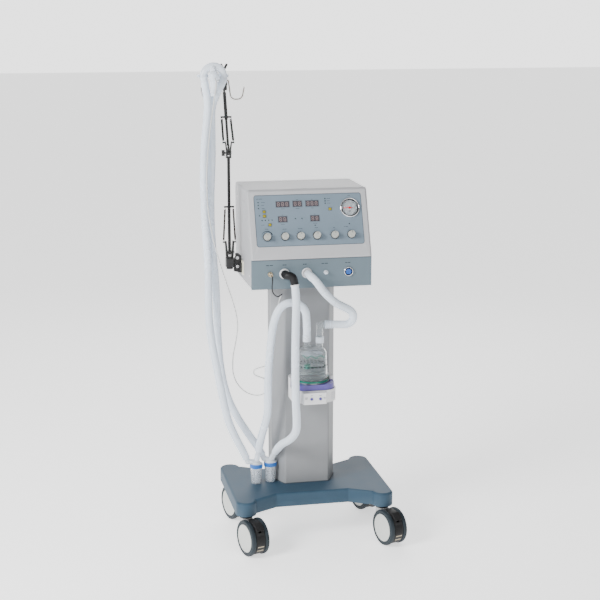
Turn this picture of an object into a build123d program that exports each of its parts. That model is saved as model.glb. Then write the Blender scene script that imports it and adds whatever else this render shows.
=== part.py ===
from build123d import *
import math
import os

# Mechanical ventilator on a four-caster trolley. Millimetres, +Z up, front faces -Y.
# Everything is laid out about the trolley's centre on the floor, then moved so that
# the origin is the bottom centre of the object's box (its free hoses left out).

# ---------------------------------------------------------------- driving dimensions
WHEEL_R = 60.0                  # caster wheel radius
CASTER_TRAIL = 48.0             # swivel axis to axle
CASTER_YAW = 18.0               # all casters parked at this angle
LOBE_X, LOBE_Y, LOBE_R = 232.0, 169.0, 34.0
BASE_Z0, BASE_Z1 = 124.0, 171.0
BASE_WALL = 4.0
NOTCH_X, NOTCH_Y = 205.0, 176.0
WAIST_X, WAIST_Y = 123.0, 131.0

COLUMN_FRONT_X, COLUMN_SIDE_X = 76.0, 108.0
COLUMN_Y0, COLUMN_SIDE_Y, COLUMN_Y1 = -40.0, 30.0, 100.0
COLUMN_WALL = 3.0
POST_X, POST_Y, POST_CY = 80.0, 60.0, 36.0

CON_X = 200.0                   # console half width
CON_Z0, CON_Z1 = 865.0, 1179.0
CON_Y0, CON_Y1 = -121.0, 194.0
LIP_Z = 968.0                   # bottom of the sloped front
TOP_FRONT_Y = -38.0
CON_WALL = 3.0
FASCIA_W, FASCIA_H, FASCIA_S = 358.0, 172.0, 37.0
PORT_T = 3.0                    # connector panel's thickness
PORT_TOP = 962.0                # top edge of the connector panel, under the lip
PORT_Z = 915.0                  # height of the row of gas ports
PORT_FACE_Y = -118.0

ARM_X, ARM_Y = -242.0, 60.0     # support arm's post
SHOULDER_Z, ELBOW_Z, HEAD_Z = 960.0, 1290.0, 1500.0
HEAD_X = -254.0
PIN_GAP = 0.06                  # radial clearance of every hinge pin

HEATER_X, HEATER_Y = 2.0, -110.0
HEATER_Z0, HEATER_Z1 = 492.0, 533.0
CHAMBER_R = 51.0

TRAP_R = 20.0
TRAPS = {"left": (-170.0, -14.0), "right": (-120.0, -4.0)}
HOSE_D = 27.0
LINE_D = 4.0

# Arch of the Y-piece, which hangs in the holder at the top of the arm
ARCH_X, ARCH_Y, ARCH_Z, ARCH_R, ARCH_TUBE_R = -294.0, 20.0, 1541.0, 32.0, 12.0
ARCH_RIGHT_DEG, ARCH_LEFT_DEG = -10.0, 184.0
PATIENT_X, PATIENT_Y, PATIENT_Z = -297.0, -8.0, 1480.0

# ---------------------------------------------------------------- derived places
SLOPE = math.degrees(math.atan2(TOP_FRONT_Y - CON_Y0, CON_Z1 - LIP_Z))
SLOPE_LENGTH = math.hypot(TOP_FRONT_Y - CON_Y0, CON_Z1 - LIP_Z)
# Fascia frame: local X to the right, local Y up the slope, local Z out of the panel
FASCIA_PLANE = Plane(
    origin=(0, CON_Y0, LIP_Z),
    x_dir=(1, 0, 0),
    z_dir=(0, -math.cos(math.radians(SLOPE)), math.sin(math.radians(SLOPE))),
)

# Routes of the free hoses: each is a list of corner points
INLET_ROUTE = [
    (-17, -140, 915), (-17, -164, 915), (-2, -186, 902), (26, -180, 862), (69, -158, 820),
    (103, -144, 801), (129, -135, 786), (139, -127, 765), (134, -119, 745), (119, -113, 735),
    (97, -110, 736), (72, -110, 738), (44, -110, 738),
]
HUMID_ROUTE = [
    (-15, -110, 706), (-15, -110, 748), (-20, -112, 796), (-62, -113, 822), (-106, -109, 806),
    (-127, -102, 745), (-135, -95, 665), (-140, -86, 580), (-140, -74, 500), (-136, -58, 437),
    (-144, -40, 385), (-155, -24, 335), (-162, -15, 286),
]
RETURN_ROUTE = [
    (-66, -164, 884), (-62, -170, 842), (-67, -182, 766), (-71, -194, 680), (-72, -199, 594),
    (-71, -197, 520), (-64, -182, 446), (-58, -152, 388), (-74, -106, 346), (-95, -58, 318),
    (-106, -25, 282),
]
LEFT_LIMB_ROUTE = [
    (-204, -14, 262), (-217, -15, 292), (-240, -20, 337), (-266, -28, 398), (-284, -34, 478),
    (-300, -34, 570), (-317, -26, 664), (-326, -10, 766), (-322, 4, 870), (-323, 9, 970),
    (-330, 10, 1080), (-332, 9, 1190), (-331, 10, 1280), (-323, 9, 1365), (-314, 8, 1446),
    (-318, 16, 1490), (-323, 20, 1522),
]
RIGHT_LIMB_ROUTE = [
    (-145, 12, 262), (-157, 18, 287), (-180, 25, 320), (-204, 30, 357), (-230, 33, 401),
    (-262, 35, 472), (-281, 35, 565), (-289, 31, 660), (-291, 30, 760), (-294, 32, 860),
    (-302, 31, 960), (-308, 32, 1060), (-307, 31, 1170), (-301, 32, 1270), (-300, 34, 1360),
    (-301, 36, 1436), (-285, 25, 1484), (-268, 20, 1518),
]
SENSOR_ROUTE = [
    (-138, -140, 915), (-138, -155, 915), (-139, -166, 903), (-142, -167, 880), (-137, -165, 860),
    (-121, -157, 847), (-106, -142, 852), (-99, -119, 849), (-100, -93, 834), (-106, -80, 801),
    (-113, -77, 755), (-121, -75, 706), (-125, -70, 659), (-130, -66, 620), (-143, -62, 595),
    (-166, -60, 590), (-184, -58, 583), (-184, -55, 566), (-166, -52, 557), (-142, -49, 547),
    (-128, -42, 522), (-133, -30, 497), (-156, -18, 481), (-186, -8, 483), (-215, -2, 501),
    (-237, -1, 532), (-247, -3, 574), (-244, -4, 622), (-234, -5, 671), (-227, -7, 718),
    (-232, -9, 764), (-245, -12, 811), (-262, -14, 862), (-279, -16, 914), (-295, -23, 967),
    (-308, -18, 1021), (-318, -17, 1076), (-324, -16, 1133), (-326, -17, 1190), (-325, -17, 1247),
    (-321, -19, 1304), (-315, -21, 1358), (-309, -25, 1407), (-303, -31, 1450), (-300, -41, 1482),
    (-298, -52, 1505), (-297, -57, 1521), (-297, -51, 1534), (-297, -37, 1536),
]


# ---------------------------------------------------------------- helpers
def block(x0, x1, y0, y1, z0, z1):
    return Pos((x0 + x1) / 2, (y0 + y1) / 2, (z0 + z1) / 2) * Box(x1 - x0, y1 - y0, z1 - z0)


def rod(start, end, radius):
    """Cylinder between two points."""
    direction = Vector(end) - Vector(start)
    plane = Plane(origin=start, z_dir=direction)
    return extrude(plane * Circle(radius), direction.length)


def cone(start, end, radius_start, radius_end):
    direction = Vector(end) - Vector(start)
    plane = Plane(origin=start, z_dir=direction)
    return plane * Pos(0, 0, direction.length / 2) * Cone(radius_start, radius_end, direction.length)


def chain(points, radius):
    """Cylinders joined by balls."""
    body = rod(points[0], points[1], radius)
    for start, end in zip(points[1:], points[2:]):
        body = body + Pos(*start) * Sphere(radius) + rod(start, end, radius)
    return body


def rounded_block(x0, x1, y0, y1, z0, z1, radius):
    """Block with rounded vertical edges."""
    outline = Pos((x0 + x1) / 2, (y0 + y1) / 2) * RectangleRounded(x1 - x0, y1 - y0, radius)
    return Pos(0, 0, z0) * extrude(outline, z1 - z0)


def side_plate(points, x0, x1):
    """Outline given in (y, z), extruded along X."""
    plane = Plane(origin=(x0, 0, 0), x_dir=(0, 1, 0), z_dir=(1, 0, 0))
    return extrude(plane * Polygon(*points, align=None), x1 - x0, dir=plane.z_dir)


def front_plate(points, y0, y1):
    """Outline given in (x, z), extruded along Y."""
    plane = Plane(origin=(0, y1, 0), x_dir=(1, 0, 0), z_dir=(0, -1, 0))
    return extrude(plane * Polygon(*points, align=None), y1 - y0, dir=plane.z_dir)


def beyond(route, distance):
    """Point before a route's start, in line with its first run."""
    start, second = Vector(route[0]), Vector(route[1])
    return (start + (start - second).normalized() * distance).to_tuple()


def solids_of(*shapes):
    found = []
    for shape in shapes:
        found.extend(shape.solids())
    return found


def tube(name, route, diameter):
    """Hose along straight runs joined by tangent arcs, each arc as large as its runs allow."""
    points = [Vector(p) for p in route]
    radii = []
    for before, corner, after in zip(points, points[1:], points[2:]):
        run_in, run_out = corner - before, after - corner
        turn = math.radians(run_in.get_angle(run_out))
        shorter = min(run_in.length, run_out.length)
        radii.append(0.45 * shorter / math.tan(turn / 2))
    path = FilletPolyline(*points, radius=radii)
    start = Plane(origin=points[0], z_dir=points[1] - points[0])
    body = sweep(start * Circle(diameter / 2), path=path)
    expected = math.pi * diameter**2 / 4 * path.length
    print(f"{name}: length {path.length:.0f}, volume ratio {body.volume / expected:.4f}, "
          f"least radius {min(radii):.0f}, radii {[round(r) for r in radii]}")
    return body


# ---------------------------------------------------------------- trolley
def base_outline():
    corners = [(-WAIST_X, -WAIST_Y), (WAIST_X, -WAIST_Y), (NOTCH_X, -NOTCH_Y), (NOTCH_X, NOTCH_Y),
               (WAIST_X, WAIST_Y), (-WAIST_X, WAIST_Y), (-NOTCH_X, NOTCH_Y), (-NOTCH_X, -NOTCH_Y)]
    outline = Polygon(*corners, align=None)
    for x in (-LOBE_X, LOBE_X):
        outline = outline + Pos(x, 0) * Rot(0, 0, 90) * SlotOverall(2 * (LOBE_Y + LOBE_R), 2 * LOBE_R)
    return outline


def make_base_cover():
    height = BASE_Z1 - BASE_Z0
    shell = extrude(base_outline(), height)
    shell = fillet(shell.faces().sort_by(Axis.Z)[-1].edges(), 7)
    hollow = extrude(offset(base_outline(), -BASE_WALL), height - BASE_WALL)
    post_hole = Pos(0, POST_CY, height) * Box(POST_X + 4, POST_Y + 4, 40)
    return Pos(0, 0, BASE_Z0) * (shell - hollow - post_hole)


STEM_R, STEM_TOP = 5.5, 158.0


def make_steel_frame():
    rail_z0, rail_z1 = BASE_Z0 + 3, BASE_Z0 + 31
    frame = block(-LOBE_X, LOBE_X, POST_CY - 30, POST_CY + 30, rail_z0, rail_z1)
    for x in (-LOBE_X, LOBE_X):
        frame = frame + block(x - 15, x + 15, -LOBE_Y, LOBE_Y, rail_z0, rail_z1)
        for y in (-LOBE_Y, LOBE_Y):
            boss_z = (BASE_Z0 + STEM_TOP) / 2 + 1
            frame = frame + Pos(x, y, boss_z) * Cylinder(24, STEM_TOP - BASE_Z0 - 2)
            frame = frame - Pos(x, y, BASE_Z0) * Cylinder(STEM_R + PIN_GAP, 80)
    post_top = CON_Z0 - 4
    post = block(-POST_X / 2, POST_X / 2, POST_CY - POST_Y / 2, POST_CY + POST_Y / 2, rail_z0, post_top)
    post = post - block(-POST_X / 2 + 3, POST_X / 2 - 3, POST_CY - POST_Y / 2 + 3,
                        POST_CY + POST_Y / 2 - 3, rail_z1, post_top)
    tray = rounded_block(-120, 120, -60, 150, post_top, CON_Z0, 10)
    return frame + post + tray


def column_outline(inset):
    front, side = COLUMN_FRONT_X, COLUMN_SIDE_X
    corners = [(front, COLUMN_Y0), (side, COLUMN_SIDE_Y), (side, COLUMN_Y1)]
    corners += [(-x, y) for x, y in reversed(corners)]
    outline = Polygon(*corners, align=None)
    outline = fillet(outline.vertices(), 9)
    return offset(outline, -inset) if inset else outline


def make_column_shell():
    height = CON_Z0 - 4 - BASE_Z1
    shell = extrude(column_outline(0), height) - extrude(column_outline(COLUMN_WALL), height)
    return Pos(0, 0, BASE_Z1) * shell


# ---------------------------------------------------------------- casters
# Local frame: swivel axis is Z, the wheels trail towards -Y, the axle runs along X
RING_Z0 = 116.0
HUB_R = 46.0
WHEEL_IN, WHEEL_OUT = 16.5, 31.5
FENDER_R, FENDER_HALF, SLOT_HALF = 58.0, 15.0, 4.8
PEDAL_PIVOT_R, PEDAL_ANGLE, PEDAL_PIN_R = 50.0, 48.0, 2.5


def pedal_frame():
    """Pivot of the brake pedal: local Y radially out, local X along the axle."""
    angle = math.radians(PEDAL_ANGLE)
    radial = (0, -math.cos(angle), math.sin(angle))
    tangent = (0, math.sin(angle), math.cos(angle))
    origin = (0, -CASTER_TRAIL + PEDAL_PIVOT_R * radial[1], WHEEL_R + PEDAL_PIVOT_R * radial[2])
    return Plane(origin=origin, x_dir=(1, 0, 0), z_dir=(0, -tangent[1], -tangent[2])), origin


def make_yoke(with_pedal):
    axle_y = -CASTER_TRAIL
    fender = rod((-FENDER_HALF, axle_y, WHEEL_R), (FENDER_HALF, axle_y, WHEEL_R), FENDER_R)
    fender = fender - block(-20, 20, axle_y - 80, axle_y + 80, 0, 14)
    neck = block(-FENDER_HALF, FENDER_HALF, -30, 17, 70, 112)
    cap = Pos(0, 0, 112.5) * Cylinder(20, 5)
    body = fender + neck + cap - rod((-20, axle_y, WHEEL_R), (20, axle_y, WHEEL_R), 4)
    if with_pedal:
        plane, _ = pedal_frame()
        slot = plane * Pos(0, 14, 0) * Box(2 * SLOT_HALF, 44, 34)
        body = body - slot
        body = body - plane * Rot(0, 90, 0) * Cylinder(PEDAL_PIN_R + PIN_GAP, 40)
    ring = Pos(0, 0, (115 + RING_Z0 + 7) / 2) * Cylinder(22, RING_Z0 + 7 - 115)
    stem = Pos(0, 0, (RING_Z0 + STEM_TOP) / 2 + 3) * Cylinder(STEM_R, STEM_TOP - RING_Z0 - 8)
    axle = rod((-WHEEL_OUT + 1, axle_y, WHEEL_R), (WHEEL_OUT - 1, axle_y, WHEEL_R), 4)
    return solids_of(body, ring + stem, axle)


def make_wheels():
    axle_y = -CASTER_TRAIL
    parts = []
    for side in (-1, 1):
        inner, outer = side * WHEEL_IN, side * WHEEL_OUT
        wheel = rod((inner, axle_y, WHEEL_R), (outer, axle_y, WHEEL_R), WHEEL_R)
        rims = [e for e in wheel.edges() if e.geom_type == GeomType.CIRCLE]
        wheel = fillet(rims, 6)
        hub = rod((inner, axle_y, WHEEL_R), (outer, axle_y, WHEEL_R), HUB_R)
        bore = rod((inner, axle_y, WHEEL_R), (side * (WHEEL_OUT - 0.9), axle_y, WHEEL_R), 4 + PIN_GAP)
        parts += solids_of(wheel - hub, hub - bore)
    return parts


def make_pedal():
    plane, _ = pedal_frame()
    pin = plane * Rot(0, 90, 0) * Cylinder(PEDAL_PIN_R, 2 * FENDER_HALF)
    arm = plane * Pos(0, 5, 0) * Box(2 * SLOT_HALF - 0.6, 12, 9)
    pad = plane * Pos(0, 12.5, -2) * Box(2 * FENDER_HALF - 2, 5, 30)
    return solids_of(pin + arm + pad)


def place_caster(shape, x, y):
    return Pos(x, y, 0) * Rot(0, 0, CASTER_YAW) * shape


# ---------------------------------------------------------------- console
def console_profile(inset):
    corners = [
        (CON_Y0 + inset, CON_Z0 + inset), (CON_Y0 + inset, LIP_Z),
        (TOP_FRONT_Y + inset, CON_Z1 - inset), (CON_Y1 - inset, CON_Z1 - inset),
        (CON_Y1 - inset, CON_Z0 + inset),
    ]
    return corners


def fascia_point(u, v, out=0.0):
    """Place on the fascia: u from its left edge, v down from its top edge, both 0 to 1."""
    local = Vector((u - 0.5) * FASCIA_W, FASCIA_S + (1 - v) * FASCIA_H, out)
    return FASCIA_PLANE.from_local_coords(local)


def on_fascia(u, v, out=0.0):
    return Plane(origin=fascia_point(u, v, out), x_dir=(1, 0, 0), z_dir=FASCIA_PLANE.z_dir)


def make_console_shell():
    shell = side_plate(console_profile(0), -CON_X, CON_X)
    top_edges = [e for e in shell.edges() if abs(e.center().X) < 1 and e.center().Z > CON_Z1 - 1]
    shell = fillet(top_edges, 12)
    sides = [e for e in shell.edges() if abs(abs(e.center().X) - CON_X) < 0.5]
    shell = fillet(sides, 8)
    shell = shell - side_plate(console_profile(CON_WALL + 2), -CON_X + CON_WALL, CON_X - CON_WALL)
    fascia_cut = FASCIA_PLANE * Pos(0, FASCIA_S + FASCIA_H / 2) * RectangleRounded(FASCIA_W, FASCIA_H, 9)
    shell = shell - extrude(fascia_cut, 12, both=True)
    port_front = block(-CON_X - 1, CON_X + 1, CON_Y0 - 1, PORT_FACE_Y + PORT_T, CON_Z0 - 1, PORT_TOP + 0.4)
    shell = shell - port_front
    shell = shell - block(-CON_X + 7, CON_X - 7, CON_Y0 - 5, CON_Y0 + 12, CON_Z0 + 5, PORT_TOP - 6)
    shell = shell - block(-CON_X + 14, CON_X - 14, CON_Y1 - 12, CON_Y1 + 5, CON_Z0 + 14, CON_Z1 - 22)
    return shell


def make_rear_cover():
    plate = block(-CON_X + 14, CON_X - 14, CON_Y1 - 4, CON_Y1 - 1, CON_Z0 + 14, CON_Z1 - 22)
    for row in range(6):
        z = 1040 + row * 14
        plate = plate - block(20, 140, CON_Y1 - 6, CON_Y1 + 1, z, z + 5)
    return plate


DISPLAYS = [
    (0.264, 0.185, 44, 19), (0.400, 0.185, 30, 19), (0.537, 0.185, 43, 19),
    (0.255, 0.475, 29, 19), (0.553, 0.475, 29, 19),
]
KNOB_UV = [(0.10, 0.81), (0.265, 0.81), (0.41, 0.81), (0.56, 0.81), (0.725, 0.81), (0.88, 0.81)]
KEY_UV = [(0.09, 0.32), (0.09, 0.405), (0.135, 0.575), (0.70, 0.305)]
GAUGE_UV = (0.885, 0.29)
GAUGE_R = 33.0
KNOB_R, KNOB_H, SHAFT_R = 14.0, 17.0, 3.0
KEY_W, KEY_H = 9.0, 8.0
FASCIA_T = 3.0
FASCIA_OUT = -1.5               # fascia's face, below the shell's sloped face


def make_fascia_panel():
    outline = FASCIA_PLANE * Pos(0, FASCIA_S + FASCIA_H / 2, FASCIA_OUT - FASCIA_T)
    panel = extrude(outline * RectangleRounded(FASCIA_W - 0.6, FASCIA_H - 0.6, 8.7), FASCIA_T)
    for u, v, width, height in DISPLAYS:
        panel = panel - on_fascia(u, v) * Box(width + 0.4, height + 0.4, 20)
    for u, v in KNOB_UV:
        panel = panel - on_fascia(u, v) * Cylinder(SHAFT_R + PIN_GAP, 20)
    for u, v in KEY_UV:
        panel = panel - on_fascia(u, v) * Box(KEY_W + 0.6, KEY_H + 0.6, 20)
    panel = panel - on_fascia(*GAUGE_UV) * Cylinder(GAUGE_R - 4, 20)
    return panel


def make_display_modules():
    modules = []
    for u, v, width, height in DISPLAYS:
        front = on_fascia(u, v, FASCIA_OUT - FASCIA_T / 2 - 0.2) * Box(width, height, FASCIA_T)
        body = on_fascia(u, v, FASCIA_OUT - FASCIA_T - 6) * Box(width + 6, height + 6, 11)
        modules += solids_of(front + body)
    return modules


def make_gauge_case():
    frame = on_fascia(*GAUGE_UV, FASCIA_OUT)
    bezel = frame * Pos(0, 0, 2.5) * Cylinder(GAUGE_R, 5)
    bezel = bezel - frame * Pos(0, 0, 2.5) * Cylinder(GAUGE_R - 4.5, 6)
    case = frame * Pos(0, 0, -17) * Cylinder(GAUGE_R - 4.2, 34)
    case = case - frame * Pos(0, 0, -4) * Cylinder(GAUGE_R - 6, 16)
    dial = frame * Pos(0, 0, -3.5) * Cylinder(GAUGE_R - 6.2, 1)
    dial = dial - frame * Cylinder(1.5 + PIN_GAP, 20)
    lens = frame * Pos(0, 0, 3.2) * Cylinder(GAUGE_R - 4.6, 1.6)
    return solids_of(bezel, case, dial, lens)


def make_gauge_needle():
    frame = on_fascia(*GAUGE_UV, FASCIA_OUT)
    shaft = frame * Pos(0, 0, -3.6) * Cylinder(1.5, 4.8)
    hub = frame * Pos(0, 0, -0.6) * Cylinder(3.2, 1.2)
    pointer = frame * Pos(-5, 0, -0.6) * Box(34, 1.6, 0.8)
    return solids_of(shaft + hub + pointer)


def make_knob(u, v):
    frame = on_fascia(u, v, FASCIA_OUT)
    skirt = frame * Pos(0, 0, 2.3) * Cylinder(KNOB_R, 3.4)
    grip = frame * Pos(0, 0, 4 + (KNOB_H - 4) / 2) * Cone(KNOB_R - 1.5, KNOB_R - 3, KNOB_H - 4)
    shaft = frame * Pos(0, 0, -4) * Cylinder(SHAFT_R, 10)
    pointer = frame * Pos(0, (KNOB_R - 3) / 2, KNOB_H) * Box(1.6, KNOB_R - 4, 1.6)
    return solids_of(skirt + grip + shaft + pointer)


def make_key(u, v):
    return solids_of(on_fascia(u, v, FASCIA_OUT + 0.2) * Box(KEY_W, KEY_H, 3.6))


SENSOR_X, LEFT_PORT_X, RIGHT_PORT_X, AUX_X, BUTTON_X = -138.0, -91.0, -17.0, 46.0, 121.0
BUTTON_R = 9.5


def make_port_panel():
    panel = block(-CON_X + 0.5, CON_X - 0.5, PORT_FACE_Y, PORT_FACE_Y + PORT_T, CON_Z0 + 0.5, PORT_TOP)
    corners = [e for e in panel.edges().filter_by(Axis.Z) if e.center().Y < PORT_FACE_Y + 1]
    panel = fillet(corners, 2)
    holes = {SENSOR_X: 7, LEFT_PORT_X: 14, RIGHT_PORT_X: 14, AUX_X: 4, BUTTON_X: 13}
    for x, radius in holes.items():
        panel = panel - rod((x, -140, PORT_Z), (x, -100, PORT_Z), radius)
    return panel


def make_gas_ports():
    face = PORT_FACE_Y
    parts = []
    for x in (LEFT_PORT_X, RIGHT_PORT_X):
        flange = rod((x, face, PORT_Z), (x, face - 6, PORT_Z), 17)
        nozzle = rod((x, face - 22, PORT_Z), (x, face + 60, PORT_Z), 12)
        bore = rod((x, face - 30, PORT_Z), (x, face + 58, PORT_Z), 9.5)
        parts += solids_of(flange + nozzle - bore if x == RIGHT_PORT_X else flange + nozzle)
    elbow = chain([(LEFT_PORT_X, face - 22, PORT_Z), (LEFT_PORT_X, -154, PORT_Z),
                   beyond(RETURN_ROUTE, 28), RETURN_ROUTE[0]], 14.5)
    socket = rod((SENSOR_X, face - 22, PORT_Z), (SENSOR_X, face + 10, PORT_Z), 6)
    socket = socket + rod((SENSOR_X, face, PORT_Z), (SENSOR_X, face - 5, PORT_Z), 9)
    aux = rod((AUX_X, face - 20, PORT_Z), (AUX_X, face + 10, PORT_Z), 3.5)
    aux = aux + rod((AUX_X, face, PORT_Z), (AUX_X, face - 5, PORT_Z), 7)
    bezel = rod((BUTTON_X, face - 6, PORT_Z), (BUTTON_X, face + 14, PORT_Z), 12.5)
    bezel = bezel + rod((BUTTON_X, face, PORT_Z), (BUTTON_X, face - 6, PORT_Z), 16)
    bezel = bezel - rod((BUTTON_X, face - 10, PORT_Z), (BUTTON_X, face + 16, PORT_Z), BUTTON_R + 0.4)
    return parts + solids_of(elbow, socket, aux, bezel)


def make_manual_button():
    cap = rod((BUTTON_X, PORT_FACE_Y - 7, PORT_Z), (BUTTON_X, PORT_FACE_Y + 8, PORT_Z), BUTTON_R)
    return solids_of(cap)


def make_internal_units():
    board = block(-180, 180, 60, 62, 885, 1120)
    supply = block(60, 170, 75, 170, 876, 960)
    battery = block(-60, 40, 80, 170, 876, 950)
    gas_block = block(-150, 10, -52, 20, 885, 945)
    blender = block(-175, -85, 80, 165, 890, 1000)
    shelf = block(-190, 190, -50, 180, CON_Z0 + 5, CON_Z0 + 8)
    legs = [block(x, x + 6, y, y + 6, CON_Z0 + 8, z) for x, y, z in
            ((-145, -40, 885), (0, 10, 885), (-170, 60, 885), (170, 60, 885), (-170, 120, 890))]
    pads = [block(100, 130, 100, 130, CON_Z0 + 8, 876), block(-30, 10, 110, 140, CON_Z0 + 8, 876)]
    return solids_of(shelf, board, supply, battery, gas_block, blender, *legs, *pads)


O2_X, AIR_X, INLET_Z = -130.0, -80.0, 960.0


def make_rear_connectors():
    face = CON_Y1 - 1
    parts = []
    for x in (O2_X, AIR_X):
        nut = extrude(Plane(origin=(x, face, INLET_Z), z_dir=(0, 1, 0)) * RegularPolygon(13, 6), 7)
        stub = rod((x, face, INLET_Z), (x, face + 22, INLET_Z), 7)
        parts += solids_of(nut + stub)
    power = block(80, 130, face, face + 6, 945, 975) - block(89, 121, face + 1, face + 7, 951, 969)
    rating = block(80, 104, face, face + 9, 905, 935)
    return parts + solids_of(power, rating)


# ---------------------------------------------------------------- support arm
POST_R, ROD_R = 8.0, 5.0
EYE_HALF = 4.4
HORN_Z = 34.0                   # height of a spring's lower pin above its joint
LOWER_CROSS_Z, UPPER_CROSS_Z = 1112.0, 1407.0


def make_arm_bracket():
    x_side = -CON_X
    mount = block(x_side - 4, x_side, 25, 100, 888, 932)
    outline = [(-229, 896), (-204, 890), (-204, 948), (-213, 957), (-224, 957), (-224, 945), (-229, 940)]
    flange = front_plate(outline, 52, 60)
    for z in (912, 941):
        flange = flange - rod((-217, 40, z), (-217, 70, z), 3.2)
    foot = block(-211, -204, 38, 92, 894, 926)
    clamp = rounded_block(-255, -227, ARM_Y - 15, ARM_Y + 15, 911, 941, 5)
    clamp = clamp - Pos(ARM_X, ARM_Y, 926) * Cylinder(POST_R + PIN_GAP, 60)
    return solids_of(mount, flange + foot + clamp)


def yoke_cheeks(x, z, top):
    """Two splayed cheeks with outward spring pins, either side of a rod."""
    cheeks = []
    for side in (-1, 1):
        outline = [(x + side * 5.2, z), (x + side * 12.5, z), (x + side * 15.5, z + top),
                   (x + side * 10.5, z + top)]
        cheeks.append((side, outline))
    return cheeks


def make_arm_turret():
    post = Pos(ARM_X, ARM_Y, 0) * Pos(0, 0, 923.5) * Cylinder(POST_R, 39)
    nut = Pos(ARM_X, ARM_Y, 907) * Cylinder(11, 6)
    boss = Pos(ARM_X, ARM_Y, 944.3) * Cylinder(13, 5.4)
    body = post + nut + boss
    pin_z = SHOULDER_Z + HORN_Z
    for side, outline in yoke_cheeks(ARM_X, 946, 52):
        body = body + front_plate(outline, ARM_Y - 8, ARM_Y + 8)
        body = body + rod((ARM_X + side * 12, ARM_Y, pin_z), (ARM_X + side * 22, ARM_Y, pin_z), 2.5)
    body = body + rod((ARM_X - 13, ARM_Y, SHOULDER_Z), (ARM_X + 13, ARM_Y, SHOULDER_Z), 3)
    return solids_of(body)


def make_lower_arm():
    eye = rod((ARM_X - EYE_HALF, ARM_Y, SHOULDER_Z), (ARM_X + EYE_HALF, ARM_Y, SHOULDER_Z), 9)
    shank = rod((ARM_X, ARM_Y, SHOULDER_Z), (ARM_X, ARM_Y, ELBOW_Z - 16), ROD_R)
    cross = rod((ARM_X - 17, ARM_Y, LOWER_CROSS_Z), (ARM_X + 17, ARM_Y, LOWER_CROSS_Z), 3)
    shank = shank - rod((ARM_X - 9, ARM_Y, SHOULDER_Z), (ARM_X - EYE_HALF, ARM_Y, SHOULDER_Z), 12)
    shank = shank - rod((ARM_X + EYE_HALF, ARM_Y, SHOULDER_Z), (ARM_X + 9, ARM_Y, SHOULDER_Z), 12)
    body = eye + shank + cross
    body = body - rod((ARM_X - 20, ARM_Y, SHOULDER_Z), (ARM_X + 20, ARM_Y, SHOULDER_Z), 3 + PIN_GAP)
    body = body + block(ARM_X - 8.5, ARM_X + 8.5, ARM_Y - 8, ARM_Y + 8, ELBOW_Z - 17, ELBOW_Z - 10.5)
    pin_z = ELBOW_Z + HORN_Z
    for side in (-1, 1):
        ear = [(ARM_X + side * 3.6, ELBOW_Z - 12), (ARM_X + side * 8.5, ELBOW_Z - 12),
               (ARM_X + side * 8.5, ELBOW_Z + 10), (ARM_X + side * 12, pin_z + 4),
               (ARM_X + side * 9, pin_z + 4), (ARM_X + side * 4.4, ELBOW_Z + 12),
               (ARM_X + side * 3.6, ELBOW_Z + 8)]
        body = body + front_plate(ear, ARM_Y - 6, ARM_Y + 6)
        body = body + rod((ARM_X + side * 9.5, ARM_Y, pin_z), (ARM_X + side * 20, ARM_Y, pin_z), 2.5)
    body = body + rod((ARM_X - 8.5, ARM_Y, ELBOW_Z), (ARM_X + 8.5, ARM_Y, ELBOW_Z), 3)
    return solids_of(body)


def spring_pair(bottom, top, radius):
    """Two springs drawn as their outer envelopes, from bottom to top (x offset, x centre, z)."""
    springs = []
    for side in (-1, 1):
        start = (bottom[1] + side * bottom[0], ARM_Y, bottom[2])
        end = (top[1] + side * top[0], ARM_Y, top[2])
        springs += solids_of(rod(start, end, radius))
    return springs


def arm_x_at(z):
    """X of the leaning upper rod."""
    return ARM_X + (HEAD_X - ARM_X) * (z - ELBOW_Z) / (HEAD_Z - ELBOW_Z)


def make_upper_arm():
    tongue = rod((ARM_X - 3, ARM_Y, ELBOW_Z), (ARM_X + 3, ARM_Y, ELBOW_Z), 8)
    neck = block(ARM_X - 3, ARM_X + 3, ARM_Y - 4, ARM_Y + 4, ELBOW_Z, ELBOW_Z + 26)
    start_z, end_z = ELBOW_Z + 24, HEAD_Z - 13
    shank = rod((arm_x_at(start_z), ARM_Y, start_z), (arm_x_at(end_z), ARM_Y, end_z), 4)
    collar_z = UPPER_CROSS_Z
    sleeve = rod((arm_x_at(collar_z - 8), ARM_Y, collar_z - 8), (arm_x_at(end_z), ARM_Y, end_z), 5.5)
    x = arm_x_at(collar_z)
    cross = rod((x - 18, ARM_Y, collar_z), (x + 18, ARM_Y, collar_z), 3)
    tip = block(HEAD_X - 3, HEAD_X + 3, ARM_Y - 5, ARM_Y + 5, HEAD_Z - 16, HEAD_Z)
    tip = tip + rod((HEAD_X - 3, ARM_Y, HEAD_Z), (HEAD_X + 3, ARM_Y, HEAD_Z), 8)
    body = tongue + neck + shank + sleeve + cross + tip
    body = body - rod((ARM_X - 10, ARM_Y, ELBOW_Z), (ARM_X + 10, ARM_Y, ELBOW_Z), 3 + PIN_GAP)
    body = body - rod((HEAD_X - 10, ARM_Y, HEAD_Z), (HEAD_X + 10, ARM_Y, HEAD_Z), 3 + PIN_GAP)
    return solids_of(body)


def make_elbow_screw():
    stem = rod((ARM_X - 8.8, ARM_Y, ELBOW_Z), (ARM_X - 15, ARM_Y, ELBOW_Z), 3)
    bar = extrude(RectangleRounded(20, 8, 3.9), 5, both=True)
    bar = Pos(ARM_X - 17.5, ARM_Y, ELBOW_Z) * Rot(0, 90, 0) * bar
    return solids_of(stem + bar)


HEAD_TOP = 1545.0
HOOK_Z = 1526.0


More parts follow.
